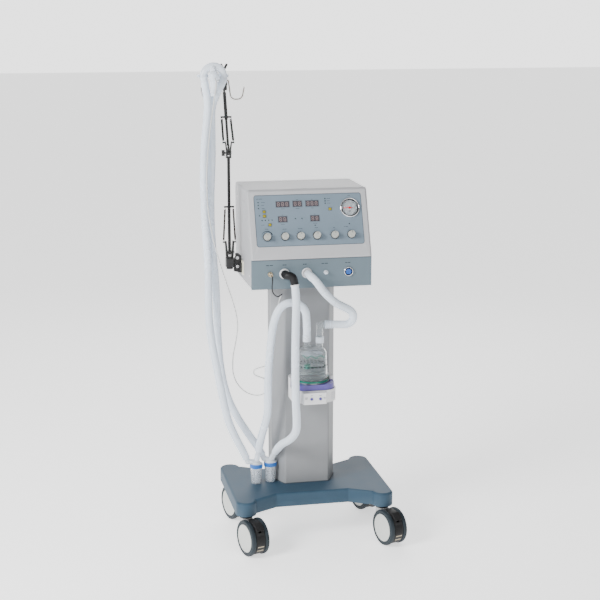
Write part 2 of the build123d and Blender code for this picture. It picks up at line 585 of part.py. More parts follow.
def make_arm_head():
    block_z0 = HEAD_Z + 9
    head = rounded_block(HEAD_X - 10, HEAD_X + 10, ARM_Y - 8, ARM_Y + 8, block_z0, HEAD_TOP, 4)
    for side in (-1, 1):
        inner, outer = sorted((HEAD_X + side * 3.5, HEAD_X + side * 8.5))
        head = head + block(inner, outer, ARM_Y - 7, ARM_Y + 7, HEAD_Z, block_z0 + 1)
        head = head + rod((inner, ARM_Y, HEAD_Z), (outer, ARM_Y, HEAD_Z), 7)
    head = head + rod((HEAD_X - 8.5, ARM_Y, HEAD_Z), (HEAD_X + 8.5, ARM_Y, HEAD_Z), 3)
    head = head - rod((HEAD_X - 40, ARM_Y, HOOK_Z), (HEAD_X + 40, ARM_Y, HOOK_Z), 2.05)
    head = head - Pos(HEAD_X, ARM_Y, HEAD_TOP - 2) * Cylinder(2.5 + PIN_GAP, 14)
    return solids_of(head)


def make_head_screw():
    stem = Pos(HEAD_X, ARM_Y, HEAD_TOP + 5) * Cylinder(2.5, 24)
    knob = Pos(HEAD_X, ARM_Y, HEAD_TOP + 20) * Cylinder(5, 8)
    for side in (-1, 1):
        wing = Pos(HEAD_X + side * 6, ARM_Y, HEAD_TOP + 25) * Rot(0, side * 28, 0) * Box(7, 5, 18)
        knob = knob + wing
    return solids_of(stem + knob)


def make_double_hook():
    half = [(-240, HOOK_Z), (-232, 1464), (-196, 1464), (-188, 1503)]
    centre = -258.5
    points = [(x, ARM_Y, z) for x, z in reversed(half)]
    points += [(2 * centre - x, ARM_Y, z) for x, z in half]
    path = FilletPolyline(*points, radius=[17, 17, 5, 5, 17, 17])
    start = Plane(origin=points[0], z_dir=Vector(points[1]) - Vector(points[0]))
    return solids_of(sweep(start * Circle(2), path=path))


# ---------------------------------------------------------------- Y-piece and its holder
def arch_point(degrees):
    angle = math.radians(degrees)
    return (ARCH_X + ARCH_R * math.cos(angle), ARCH_Y, ARCH_Z + ARCH_R * math.sin(angle))


def arch_path():
    return ThreePointArc(arch_point(ARCH_RIGHT_DEG), arch_point(85), arch_point(ARCH_LEFT_DEG))


def make_y_piece():
    path = arch_path()
    start = Plane(origin=path @ 0, z_dir=path % 0)
    arch = sweep(start * Circle(ARCH_TUBE_R), path=path)
    ball = (PATIENT_X, PATIENT_Y, ARCH_Z)
    link = chain([(ARCH_X, ARCH_Y, ARCH_Z + ARCH_R - 2), (PATIENT_X, 0, ARCH_Z + 18), ball], 10.4)
    head = Pos(*ball) * Sphere(18)
    port = cone(ball, (PATIENT_X, PATIENT_Y, PATIENT_Z), 13, 9.6)
    bore = rod((PATIENT_X, PATIENT_Y, PATIENT_Z - 1), (PATIENT_X, PATIENT_Y, PATIENT_Z + 20), 7.5)
    nipple = chain([(PATIENT_X, PATIENT_Y, 1534), beyond(SENSOR_ROUTE[::-1], 8), SENSOR_ROUTE[-1]], 2.5)
    body = arch + link + head + port + nipple - bore
    for degrees, route in ((ARCH_RIGHT_DEG, RIGHT_LIMB_ROUTE), (ARCH_LEFT_DEG, LEFT_LIMB_ROUTE)):
        limb = chain([arch_point(degrees), beyond(route[::-1], 13), route[-1]], ARCH_TUBE_R)
        body = body + Pos(*arch_point(degrees)) * Sphere(ARCH_TUBE_R) + limb
    return solids_of(body)


def make_hose_holder():
    z0, z1 = ARCH_Z - 4, ARCH_Z + 5
    bar = rounded_block(-345, -242, 37, 45, z0, z1, 2)
    neck = block(HEAD_X - 9, HEAD_X + 9, 45, ARM_Y - 8, z0, z1)
    holder = bar + neck
    for x in (ARCH_X - ARCH_R, ARCH_X + ARCH_R):
        ring = Pos(x, ARCH_Y, (z0 + z1) / 2) * (Cylinder(16, z1 - z0) - Cylinder(13.2, z1 - z0))
        ring = ring - block(x - 30, x + 30, ARCH_Y - 30, ARCH_Y - 2, z0 - 1, z1 + 1)
        holder = holder + ring + block(x - 4, x + 4, ARCH_Y + 13.5, 38, z0, z1)
    return solids_of(holder)


# ---------------------------------------------------------------- humidifier
GUARD_Z0, GUARD_Z1 = 533.5, 551.0
DISH_Z = 549.0


def heater_outline(inset):
    return Pos(HEATER_X, HEATER_Y) * RectangleRounded(148 - 2 * inset, 134 - 2 * inset, 45 - inset)


def make_heater_base():
    body = Pos(0, 0, HEATER_Z0) * extrude(heater_outline(0), HEATER_Z1 - HEATER_Z0)
    pocket = extrude(heater_outline(3.5), 40) - extrude(Pos(HEATER_X, HEATER_Y) * Circle(57), 40)
    pocket = Pos(0, 0, HEATER_Z1 - 10) * pocket
    collar = extrude(heater_outline(0), 29) - extrude(Pos(HEATER_X, HEATER_Y) * Circle(60.5), 29)
    collar = Pos(0, 0, HEATER_Z1) * collar - block(-90, 90, -200, HEATER_Y + 2, 500, 600)
    pocket = pocket - block(-90, 90, HEATER_Y + 1, 0, 500, 600)
    panel = rounded_block(-44, 36, -192, -120, HEATER_Z0, HEATER_Z1 - 3, 6)
    core = Pos(HEATER_X, HEATER_Y, (HEATER_Z1 + DISH_Z) / 2 - 2) * Cylinder(55, DISH_Z - HEATER_Z1 + 4)
    body = body + panel - pocket + collar + core
    for x in HEATER_KEYS:
        body = body - rod((x, -200, KEY_Z), (x, -184, KEY_Z), 4.8)
    bracket = block(-30, 34, -43, -40, 486, 560)
    return solids_of(body, bracket)


HEATER_KEYS = (-16.0, 13.0)
KEY_Z = 510.0


def make_guard_ring():
    ring = extrude(heater_outline(4.5), GUARD_Z1 - GUARD_Z0)
    ring = ring - extrude(Pos(HEATER_X, HEATER_Y) * Circle(58.5), 40)
    ring = Pos(0, 0, GUARD_Z0) * ring - block(-90, 90, HEATER_Y, 0, 500, 600)
    return solids_of(ring)


def make_heater_key(x):
    return solids_of(rod((x, -193.5, KEY_Z), (x, -186, KEY_Z), 4.5))


def make_chamber_base():
    x, y = HEATER_X, HEATER_Y
    plate = Pos(x, y, DISH_Z + 2.5) * Cylinder(56, 5)
    seal = Pos(x, y, DISH_Z + 7.5) * Cylinder(54, 5) - Pos(x, y, DISH_Z + 7.5) * Cylinder(48, 6)
    return solids_of(plate, seal)


def make_chamber_dome():
    z0 = DISH_Z + 10
    outer = [(0, 0), (54, 0), (54, 4), (CHAMBER_R, 6), (48.5, 90), (40, 103), (0, 106)]
    inner = [(0, -1), (49, -1), (48.5, 6), (46.3, 88.5), (38.5, 100.5), (0, 103.5)]
    section = Plane.XZ * Polygon(*outer, align=None)
    hollow = Plane.XZ * Polygon(*inner, align=None)
    here = Pos(HEATER_X, HEATER_Y, z0)
    dome = here * revolve(section, Axis.Z)
    inside = here * revolve(hollow, Axis.Z)
    outlet = rod((-15, HEATER_Y, 655), (-15, HEATER_Y, 706), 11)
    outlet_bore = rod((-15, HEATER_Y, 640), (-15, HEATER_Y, 707), 9)
    riser = chain([(28, HEATER_Y, 650), (28, HEATER_Y, 738), (44, HEATER_Y, 738)], 11)
    riser_bore = chain([(28, HEATER_Y, 640), (28, HEATER_Y, 738), (45, HEATER_Y, 738)], 9)
    return solids_of(dome + outlet + riser - inside - outlet_bore - riser_bore)


# ---------------------------------------------------------------- water traps
LID_Z0, LID_Z1 = 228.0, 242.0


def make_trap_cups():
    cups = []
    for x, y in TRAPS.values():
        height = LID_Z0 - BASE_Z1
        here = Pos(x, y, BASE_Z1 + height / 2)
        cup = here * Cone(TRAP_R - 2.5, TRAP_R, height)
        inside = here * Pos(0, 0, 2) * Cone(TRAP_R - 4.3, TRAP_R - 1.8, height)
        cups += solids_of(cup - inside)
    return cups


def make_trap_lids():
    arms = {
        "left": [LEFT_LIMB_ROUTE, HUMID_ROUTE[::-1]],
        "right": [RIGHT_LIMB_ROUTE, RETURN_ROUTE[::-1]],
    }
    parts = []
    for name, (x, y) in TRAPS.items():
        ring = Pos(x, y, (LID_Z0 + LID_Z1) / 2) * Cylinder(TRAP_R + 1.5, LID_Z1 - LID_Z0)
        crown = Pos(x, y, LID_Z1 + 3) * Cone(17, 13, 6)
        for route in arms[name]:
            crown = crown + chain([(x, y, LID_Z1 + 4), beyond(route, 14), route[0]], 9.5)
        crown = crown - block(x - 60, x + 60, y - 60, y + 60, LID_Z1 - 40, LID_Z1)
        parts += solids_of(ring, crown)
    return parts


# ---------------------------------------------------------------- assembly
CASTERS = {"fl": (-1, -1), "fr": (1, -1), "rl": (-1, 1), "rr": (1, 1)}
CORD_NODES = [
    "inlet_hose", "humid_hose", "return_hose", "left_limb_hose", "right_limb_hose", "sensor_line",
]


def build_nodes():
    nodes = {
        "base_cover": solids_of(make_base_cover()),
        "steel_frame": solids_of(make_steel_frame()),
        "column_shell": solids_of(make_column_shell()),
    }
    for corner, (side_x, side_y) in CASTERS.items():
        x, y = side_x * LOBE_X, side_y * LOBE_Y
        braked = side_y < 0
        nodes[f"caster_{corner}_yoke"] = [place_caster(s, x, y) for s in make_yoke(braked)]
        nodes[f"caster_{corner}_wheels"] = [place_caster(s, x, y) for s in make_wheels()]
        if braked:
            nodes[f"caster_{corner}_pedal"] = [place_caster(s, x, y) for s in make_pedal()]
    nodes["console_shell"] = solids_of(make_console_shell())
    nodes["rear_cover"] = solids_of(make_rear_cover())
    nodes["fascia_panel"] = solids_of(make_fascia_panel())
    nodes["port_panel"] = solids_of(make_port_panel())
    nodes["display_modules"] = make_display_modules()
    nodes["gauge_case"] = make_gauge_case()
    nodes["gauge_needle"] = make_gauge_needle()
    nodes["gas_ports"] = make_gas_ports()
    nodes["manual_button"] = make_manual_button()
    nodes["internal_units"] = make_internal_units()
    nodes["rear_connectors"] = make_rear_connectors()
    for number, (u, v) in enumerate(KNOB_UV, start=1):
        nodes[f"knob_{number}"] = make_knob(u, v)
    for number, (u, v) in enumerate(KEY_UV, start=1):
        nodes[f"key_{number}"] = make_key(u, v)
    nodes["arm_bracket"] = make_arm_bracket()
    nodes["arm_turret"] = make_arm_turret()
    nodes["lower_arm"] = make_lower_arm()
    nodes["lower_springs"] = spring_pair((19.6, ARM_X, SHOULDER_Z + HORN_Z + 3),
                                         (13.5, ARM_X, LOWER_CROSS_Z - 3.5), 3.2)
    nodes["elbow_screw"] = make_elbow_screw()
    nodes["upper_arm"] = make_upper_arm()
    nodes["upper_springs"] = spring_pair((16.5, ARM_X, ELBOW_Z + HORN_Z + 3),
                                         (14.5, arm_x_at(UPPER_CROSS_Z), UPPER_CROSS_Z - 3.5), 3.8)
    nodes["arm_head"] = make_arm_head()
    nodes["head_screw"] = make_head_screw()
    nodes["double_hook"] = make_double_hook()
    nodes["hose_holder"] = make_hose_holder()
    nodes["y_piece"] = make_y_piece()
    nodes["heater_base"] = make_heater_base()
    nodes["guard_ring"] = make_guard_ring()
    for side, x in zip(("left", "right"), HEATER_KEYS):
        nodes[f"heater_key_{side}"] = make_heater_key(x)
    nodes["chamber_base"] = make_chamber_base()
    nodes["chamber_dome"] = make_chamber_dome()
    nodes["trap_cups"] = make_trap_cups()
    nodes["trap_lids"] = make_trap_lids()
    routes = {
        "inlet_hose": (INLET_ROUTE, HOSE_D), "humid_hose": (HUMID_ROUTE, HOSE_D),
        "return_hose": (RETURN_ROUTE, HOSE_D), "left_limb_hose": (LEFT_LIMB_ROUTE, HOSE_D),
        "right_limb_hose": (RIGHT_LIMB_ROUTE, HOSE_D), "sensor_line": (SENSOR_ROUTE, LINE_D),
    }
    for name, (route, diameter) in routes.items():
        nodes[name] = solids_of(tube(name, route, diameter))
    return nodes


def origin_offset(nodes):
    """Bottom centre of the box of everything but the free hoses."""
    own = [solid for name, solids in nodes.items() if name not in CORD_NODES for solid in solids]
    box = Compound(own).bounding_box()
    return Vector(round(box.center().X), round(box.center().Y), box.min.Z)


NODES = build_nodes()
OFFSET = origin_offset(NODES)
print("origin is at", OFFSET, "from the trolley's centre")
os.makedirs("parts", exist_ok=True)
for node, solids in NODES.items():
    moved = [solid.moved(Location(-OFFSET)) for solid in solids]
    shape = moved[0] if len(moved) == 1 else Compound(children=moved)
    export_step(shape, f"parts/{node}.step")
print(len(NODES), "nodes")
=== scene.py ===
import math

import bmesh
import bpy
from mathutils import Matrix, Vector


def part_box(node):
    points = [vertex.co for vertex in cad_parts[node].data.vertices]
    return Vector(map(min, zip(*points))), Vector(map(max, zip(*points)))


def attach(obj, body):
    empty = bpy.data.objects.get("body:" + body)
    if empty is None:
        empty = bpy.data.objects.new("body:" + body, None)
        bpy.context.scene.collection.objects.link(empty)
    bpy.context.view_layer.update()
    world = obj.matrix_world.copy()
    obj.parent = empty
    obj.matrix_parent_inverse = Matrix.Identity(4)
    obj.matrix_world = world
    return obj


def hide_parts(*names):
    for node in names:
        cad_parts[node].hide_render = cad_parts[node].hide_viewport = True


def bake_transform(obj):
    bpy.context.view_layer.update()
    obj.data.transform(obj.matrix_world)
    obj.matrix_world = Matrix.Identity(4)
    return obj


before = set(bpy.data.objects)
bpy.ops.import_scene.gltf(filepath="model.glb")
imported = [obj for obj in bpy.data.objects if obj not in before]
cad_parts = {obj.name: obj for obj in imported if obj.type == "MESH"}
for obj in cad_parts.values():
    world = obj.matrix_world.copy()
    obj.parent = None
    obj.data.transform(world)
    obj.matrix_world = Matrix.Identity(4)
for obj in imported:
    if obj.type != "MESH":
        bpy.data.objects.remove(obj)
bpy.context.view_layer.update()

# A mechanical ventilator on its trolley. Metres, +Z up, the control panel faces -Y.
# Places are given about the trolley's centre on the floor, which is the middle of the base.
BASE_LOW, BASE_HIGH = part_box("base_cover")
TROLLEY = Vector(((BASE_LOW.x + BASE_HIGH.x) / 2, (BASE_LOW.y + BASE_HIGH.y) / 2, 0))

WHEEL_RADIUS, CASTER_TRAIL, CASTER_YAW = 0.060, 0.048, math.radians(18)
LOBE_X, LOBE_Y = 0.232, 0.169
PORT_Z, PORT_FACE_Y = 0.915, -0.118
CONSOLE_X, CONSOLE_BACK_Y = 0.200, 0.194
LIP_Y, LIP_Z = -0.121, 0.968
TOP_FRONT_Y, CONSOLE_TOP_Z = -0.038, 1.179
SLOPE = math.atan2(TOP_FRONT_Y - LIP_Y, CONSOLE_TOP_Z - LIP_Z)
FASCIA_W, FASCIA_H, FASCIA_START, FASCIA_DEPTH = 0.358, 0.172, 0.037, -0.0015
ARM_X, ARM_Y, SHOULDER_Z, ELBOW_Z, HEAD_X, HEAD_Z = -0.242, 0.060, 0.960, 1.290, -0.254, 1.500
HEATER_X, HEATER_Y, HEATER_KEY_Z = 0.002, -0.110, 0.510
HOSE_RADIUS, HOSE_PITCH, HOSE_GROOVE = 0.0135, 0.0052, 0.0013
LINE_RADIUS, LINE_STEP, BLACK_LEAD = 0.002, 0.002, 0.150
TRAPS = [(-0.170, -0.014), (-0.120, -0.004)]

# Routes of the free hoses, as control points of smooth curves
INLET_ROUTE = [
    (-0.017, -0.140, 0.915), (-0.017, -0.164, 0.915), (-0.002, -0.186, 0.902),
    (0.026, -0.180, 0.862), (0.069, -0.158, 0.820), (0.103, -0.144, 0.801), (0.129, -0.135, 0.786),
    (0.139, -0.127, 0.765), (0.134, -0.119, 0.745), (0.119, -0.113, 0.735), (0.097, -0.110, 0.736),
    (0.072, -0.110, 0.738), (0.044, -0.110, 0.738),
]
HUMID_ROUTE = [
    (-0.015, -0.110, 0.706), (-0.015, -0.110, 0.748), (-0.020, -0.112, 0.796),
    (-0.062, -0.113, 0.822), (-0.106, -0.109, 0.806), (-0.127, -0.102, 0.745),
    (-0.135, -0.095, 0.665), (-0.140, -0.086, 0.580), (-0.140, -0.074, 0.500),
    (-0.136, -0.058, 0.437), (-0.144, -0.040, 0.385), (-0.155, -0.024, 0.335),
    (-0.162, -0.015, 0.286),
]
RETURN_ROUTE = [
    (-0.066, -0.164, 0.884), (-0.062, -0.170, 0.842), (-0.067, -0.182, 0.766),
    (-0.071, -0.194, 0.680), (-0.072, -0.199, 0.594), (-0.071, -0.197, 0.520),
    (-0.064, -0.182, 0.446), (-0.058, -0.152, 0.388), (-0.074, -0.106, 0.346),
    (-0.095, -0.058, 0.318), (-0.106, -0.025, 0.282),
]
LEFT_LIMB_ROUTE = [
    (-0.204, -0.014, 0.262), (-0.217, -0.015, 0.292), (-0.240, -0.020, 0.337),
    (-0.266, -0.028, 0.398), (-0.284, -0.034, 0.478), (-0.300, -0.034, 0.570),
    (-0.317, -0.026, 0.664), (-0.326, -0.010, 0.766), (-0.322, 0.004, 0.870),
    (-0.323, 0.009, 0.970), (-0.330, 0.010, 1.080), (-0.332, 0.009, 1.190), (-0.331, 0.010, 1.280),
    (-0.323, 0.009, 1.365), (-0.314, 0.008, 1.446), (-0.318, 0.016, 1.490), (-0.323, 0.020, 1.522),
]
RIGHT_LIMB_ROUTE = [
    (-0.145, 0.012, 0.262), (-0.157, 0.018, 0.287), (-0.180, 0.025, 0.320), (-0.204, 0.030, 0.357),
    (-0.230, 0.033, 0.401), (-0.262, 0.035, 0.472), (-0.281, 0.035, 0.565), (-0.289, 0.031, 0.660),
    (-0.291, 0.030, 0.760), (-0.294, 0.032, 0.860), (-0.302, 0.031, 0.960), (-0.308, 0.032, 1.060),
    (-0.307, 0.031, 1.170), (-0.301, 0.032, 1.270), (-0.300, 0.034, 1.360), (-0.301, 0.036, 1.436),
    (-0.285, 0.025, 1.484), (-0.268, 0.020, 1.518),
]
SENSOR_ROUTE = [
    (-0.138, -0.140, 0.915), (-0.138, -0.155, 0.915), (-0.139, -0.166, 0.903),
    (-0.142, -0.167, 0.880), (-0.137, -0.165, 0.860), (-0.121, -0.157, 0.847),
    (-0.106, -0.142, 0.852), (-0.099, -0.119, 0.849), (-0.100, -0.093, 0.834),
    (-0.106, -0.080, 0.801), (-0.113, -0.077, 0.755), (-0.121, -0.075, 0.706),
    (-0.125, -0.070, 0.659), (-0.130, -0.066, 0.620), (-0.143, -0.062, 0.595),
    (-0.166, -0.060, 0.590), (-0.184, -0.058, 0.583), (-0.184, -0.055, 0.566),
    (-0.166, -0.052, 0.557), (-0.142, -0.049, 0.547), (-0.128, -0.042, 0.522),
    (-0.133, -0.030, 0.497), (-0.156, -0.018, 0.481), (-0.186, -0.008, 0.483),
    (-0.215, -0.002, 0.501), (-0.237, -0.001, 0.532), (-0.247, -0.003, 0.574),
    (-0.244, -0.004, 0.622), (-0.234, -0.005, 0.671), (-0.227, -0.007, 0.718),
    (-0.232, -0.009, 0.764), (-0.245, -0.012, 0.811), (-0.262, -0.014, 0.862),
    (-0.279, -0.016, 0.914), (-0.295, -0.023, 0.967), (-0.308, -0.018, 1.021),
    (-0.318, -0.017, 1.076), (-0.324, -0.016, 1.133), (-0.326, -0.017, 1.190),
    (-0.325, -0.017, 1.247), (-0.321, -0.019, 1.304), (-0.315, -0.021, 1.358),
    (-0.309, -0.025, 1.407), (-0.303, -0.031, 1.450), (-0.300, -0.041, 1.482),
    (-0.298, -0.052, 1.505), (-0.297, -0.057, 1.521), (-0.297, -0.051, 1.534),
    (-0.297, -0.037, 1.536),
]


def at(x, y, z):
    """Point given about the trolley's centre."""
    return TROLLEY + Vector((x, y, z))


# ---------------------------------------------------------------- materials
def set_inputs(node, values):
    for socket, value in values.items():
        node.inputs[socket].default_value = value


def material(name, colour, roughness=0.5, metallic=0.0, mottling=0.05, cloud=18.0, grain=900.0,
             grain_depth=0.04, wear=0.0, transmission=0.0, ior=1.45, coat=0.0, glow=0.0, shine=0.3):
    """Procedural finish: broad colour variation, fine surface grain, uneven gloss and pale worn edges."""
    mat = bpy.data.materials.new(name)
    mat.use_nodes = True
    nodes, links = mat.node_tree.nodes, mat.node_tree.links
    shader = nodes["Principled BSDF"]
    place = nodes.new("ShaderNodeTexCoord")
    broad = nodes.new("ShaderNodeTexNoise")
    set_inputs(broad, {"Scale": cloud, "Detail": 4})
    links.new(place.outputs["Object"], broad.inputs["Vector"])
    tint = nodes.new("ShaderNodeValToRGB")
    tint.color_ramp.elements[0].position = 0.3
    tint.color_ramp.elements[1].position = 0.7
    tint.color_ramp.elements[0].color = [c * (1 - mottling) for c in colour] + [1]
    tint.color_ramp.elements[1].color = [min(c * (1 + mottling), 1) for c in colour] + [1]
    links.new(broad.outputs["Fac"], tint.inputs["Fac"])
    colour_out = tint.outputs["Color"]
    if wear:
        shape = nodes.new("ShaderNodeNewGeometry")
        edge = nodes.new("ShaderNodeMapRange")
        set_inputs(edge, {"From Min": 0.53, "From Max": 0.62, "To Max": wear})
        links.new(shape.outputs["Pointiness"], edge.inputs["Value"])
        worn = nodes.new("ShaderNodeMix")
        worn.data_type = "RGBA"
        links.new(edge.outputs["Result"], worn.inputs["Factor"])
        links.new(colour_out, worn.inputs["A"])
        worn.inputs["B"].default_value = [min(c * 1.6 + 0.06, 1) for c in colour] + [1]
        colour_out = worn.outputs["Result"]
    links.new(colour_out, shader.inputs["Base Color"])
    fine = nodes.new("ShaderNodeTexNoise")
    set_inputs(fine, {"Scale": grain, "Detail": 3})
    links.new(place.outputs["Object"], fine.inputs["Vector"])
    gloss = nodes.new("ShaderNodeMapRange")
    set_inputs(gloss, {"To Min": max(roughness - 0.06, 0.02), "To Max": min(roughness + 0.06, 1)})
    links.new(broad.outputs["Fac"], gloss.inputs["Value"])
    links.new(gloss.outputs["Result"], shader.inputs["Roughness"])
    bump = nodes.new("ShaderNodeBump")
    set_inputs(bump, {"Strength": grain_depth, "Distance": 0.0006})
    links.new(fine.outputs["Fac"], bump.inputs["Height"])
    links.new(bump.outputs["Normal"], shader.inputs["Normal"])
    set_inputs(shader,
               {"Metallic": metallic, "Specular IOR Level": 0.5 if transmission or metallic else shine,
                "Transmission Weight": transmission, "IOR": ior, "Coat Weight": coat,
                "Emission Color": (1, 1, 1, 1), "Emission Strength": glow})
    return mat


BASE_BLUE = material("base_blue", (0.027, 0.059, 0.093), 0.55, mottling=0.06, grain=700, grain_depth=0.12,
                     wear=0.25)
STEEL_DARK = material("frame_paint", (0.08, 0.085, 0.09), 0.5, mottling=0.1)
COLUMN_GREY = material("column_grey", (0.190, 0.196, 0.204), 0.48, grain=1100, grain_depth=0.15, wear=0.3)
CONSOLE_GREY = material("console_grey", (0.345, 0.348, 0.362), 0.5, mottling=0.03, grain=1300,
                        grain_depth=0.22, wear=0.35)
REAR_GREY = material("rear_grey", (0.33, 0.33, 0.34), 0.45, grain_depth=0.1, wear=0.2)
FASCIA_BLUE = material("fascia_film", (0.160, 0.210, 0.258), 0.38, mottling=0.035, grain=1500,
                       grain_depth=0.1)
PORT_BLUE = material("port_film", (0.118, 0.160, 0.188), 0.4, mottling=0.04, grain=1500, grain_depth=0.1)
# Dark seams, gaskets and screw slots; also the painted shadow under the console's lip
SEAM_AND_SHADOW_DARK = material("seam_shadow", (0.07, 0.085, 0.10), 0.7)
PRINT_DARK = material("print_ink", (0.02, 0.024, 0.03), 0.55)
PRINT_MID = material("print_ink_grey", (0.055, 0.07, 0.09), 0.55)
WINDOW = material("display_window", (0.055, 0.05, 0.06), 0.16, mottling=0.2, coat=0.6)
WINDOW_EDGE = material("display_rim", (0.11, 0.13, 0.15), 0.4)
DIGIT = material("display_segment", (0.25, 0.19, 0.19), 0.45)
LAMP_DARK = material("lamp_dark", (0.03, 0.045, 0.04), 0.2, coat=0.7)
KEY_YELLOW = material("key_yellow", (0.24, 0.20, 0.006), 0.5, mottling=0.1, wear=0.3)
CHROME = material("chrome", (0.82, 0.82, 0.84), 0.09, metallic=1, mottling=0.02, grain_depth=0.01)
BRASS = material("brass", (0.46, 0.38, 0.26), 0.28, metallic=1, mottling=0.08)
STEEL = material("bright_steel", (0.62, 0.62, 0.63), 0.28, metallic=1, mottling=0.04, grain_depth=0.04)
HOOK_METAL = material("hook_steel", (0.22, 0.20, 0.175), 0.24, metallic=1, mottling=0.08)
DIAL_WHITE = material("dial_white", (0.50, 0.54, 0.56), 0.45, mottling=0.02)
NEEDLE_RED = material("needle_red", (0.62, 0.02, 0.02), 0.35)
LENS = material("lens_clear", (0.97, 0.98, 1.0), 0.04, transmission=1, ior=1.05, grain_depth=0.0,
                mottling=0.01)
KNOB_GREY = material("knob_grey", (0.38, 0.39, 0.36), 0.34, mottling=0.05, coat=0.25, wear=0.4)
KNOB_SKIRT = material("knob_skirt", (0.016, 0.017, 0.019), 0.4, wear=0.3)
BLACK_PAINT = material("arm_black", (0.006, 0.006, 0.0065), 0.42, mottling=0.25, grain_depth=0.1, wear=0.22,
                       coat=0.15)
BLACK_PLASTIC = material("black_plastic", (0.007, 0.007, 0.0078), 0.5, mottling=0.25, grain_depth=0.25,
                         wear=0.2)
SPRING_DARK = material("spring_dark", (0.035, 0.026, 0.022), 0.36, metallic=0.7, mottling=0.3)
SPRING_BLACK = material("spring_black", (0.014, 0.014, 0.015), 0.4, metallic=0.4, mottling=0.3)
CREAM = material("cream_plate", (0.76, 0.73, 0.60), 0.45, grain_depth=0.2)
TYRE = material("tyre_grey", (0.018, 0.026, 0.033), 0.55, mottling=0.12, grain=1100, grain_depth=0.35,
                wear=0.2)
HUB_WHITE = material("hub_white", (0.56, 0.575, 0.55), 0.42, mottling=0.03, wear=0.2)
FORK_GREY = material("fork_grey", (0.42, 0.42, 0.42), 0.35, metallic=0.15, wear=0.2)
LABEL_CREAM = material("label_cream", (0.42, 0.36, 0.26), 0.5)
HOSE = material("hose_translucent", (0.80, 0.87, 0.955), 0.26, mottling=0.03, cloud=9, transmission=0.22,
                ior=1.18, coat=0.2)
CUFF = material("cuff_milky", (0.82, 0.88, 0.95), 0.26, mottling=0.03, transmission=0.34, ior=1.2, coat=0.3)
LINE_CLEAR = material("line_clear", (0.60, 0.61, 0.60), 0.25, transmission=0.1, ior=1.35)
LINE_BLACK = material("line_black", (0.02, 0.02, 0.022), 0.4)
WHITE_PLASTIC = material("white_plastic", (0.62, 0.62, 0.635), 0.32, mottling=0.03, wear=0.2, coat=0.2)
PANEL_GREY = material("panel_grey", (0.50, 0.52, 0.55), 0.4)
PURPLE = material("purple_plastic", (0.075, 0.055, 0.27), 0.34, mottling=0.08, coat=0.3, wear=0.2)
GREEN = material("seal_green", (0.008, 0.20, 0.14), 0.45, mottling=0.1)
HEATER_PLATE = material("heater_plate", (0.45, 0.45, 0.46), 0.3, metallic=1, grain_depth=0.1)
CLEAR = material("clear_plastic", (0.95, 0.975, 0.985), 0.06, transmission=0.96, ior=1.12, mottling=0.01,
                 grain_depth=0.02)
CUP_CLEAR = material("cup_clear", (0.88, 0.92, 0.96), 0.14, transmission=0.75, ior=1.15, mottling=0.03,
                     grain_depth=0.02)
WATER = material("water", (0.86, 0.94, 0.96), 0.02, transmission=1, ior=1.12, mottling=0.01,
                 grain_depth=0.0)
TRAP_BLUE = material("trap_blue", (0.010, 0.115, 0.43), 0.3, mottling=0.08, coat=0.3, wear=0.3)
BUTTON_BLUE = material("button_blue", (0.004, 0.075, 0.33), 0.2, mottling=0.08, coat=0.6)
BOARD = material("circuit_board", (0.03, 0.16, 0.07), 0.5, mottling=0.3, cloud=120)
FLOOR_PALE = material("floor_pale", (0.93, 0.93, 0.93), 0.7, mottling=0.004, grain_depth=0.0, glow=1.1)


# ---------------------------------------------------------------- mesh helpers
def mesh_piece(name, vertices, faces, mat, body, sharp=35.0):
    """New object from its points and faces. It rides on body, unless body is None."""
    mesh = bpy.data.meshes.new(name)
    mesh.from_pydata([tuple(v) for v in vertices], [], faces)
    mesh.update()
    mesh.shade_smooth()
    mesh.set_sharp_from_angle(angle=math.radians(sharp))
    mesh.materials.append(mat)
    piece = bpy.data.objects.new(name, mesh)
    bpy.context.scene.collection.objects.link(piece)
    if body:
        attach(piece, body)
    return piece


def soften(profile, radius, steps=4):
    """The same outline with its corners rounded."""
    points = [Vector(p) for p in profile]
    rounded = [points[0]]
    for before, corner, after in zip(points, points[1:], points[2:]):
        cut_in = min(radius, (corner - before).length * 0.49)
        cut_out = min(radius, (after - corner).length * 0.49)
        start = corner + (before - corner).normalized() * cut_in
        end = corner + (after - corner).normalized() * cut_out
        for k in range(steps + 1):
            t = k / steps
            rounded.append(start * (1 - t) ** 2 + corner * (2 * t * (1 - t)) + end * t**2)
    return rounded + [points[-1]]


def lathe(name, origin, axis, profile, mat, body, segments=64, softness=0.0006, flutes=0, flute=0.0):
    """Turned piece. profile holds (along, radius) pairs, and flutes scallop its rim."""
    turn = Vector((0, 0, 1)).rotation_difference(Vector(axis).normalized())
    outline = soften(profile, softness)
    vertices = []
    for along, radius in outline:
        for k in range(segments):
            angle = math.tau * k / segments
            scallop = 1 - flute * (0.5 + 0.5 * math.cos(flutes * angle)) if flutes else 1
            spot = Vector((radius * scallop * math.cos(angle), radius * scallop * math.sin(angle), along))
            vertices.append(origin + turn @ spot)
    faces = []
    for ring in range(len(outline) - 1):
        for k in range(segments):
            a, b = ring * segments + k, ring * segments + (k + 1) % segments
            faces.append((a, b, b + segments, a + segments))
    if outline[0][1] > 0 and outline[0] != outline[-1]:
        faces.append(tuple(reversed(range(segments))))
        faces.append(tuple(range(len(vertices) - segments, len(vertices))))
    return mesh_piece(name, vertices, faces, mat, body)


def ring_profile(inner, outer, low, high):
    """Closed outline of a flat ring, for lathe."""
    return [(low, inner), (low, outer), (high, outer), (high, inner), (low, inner)]


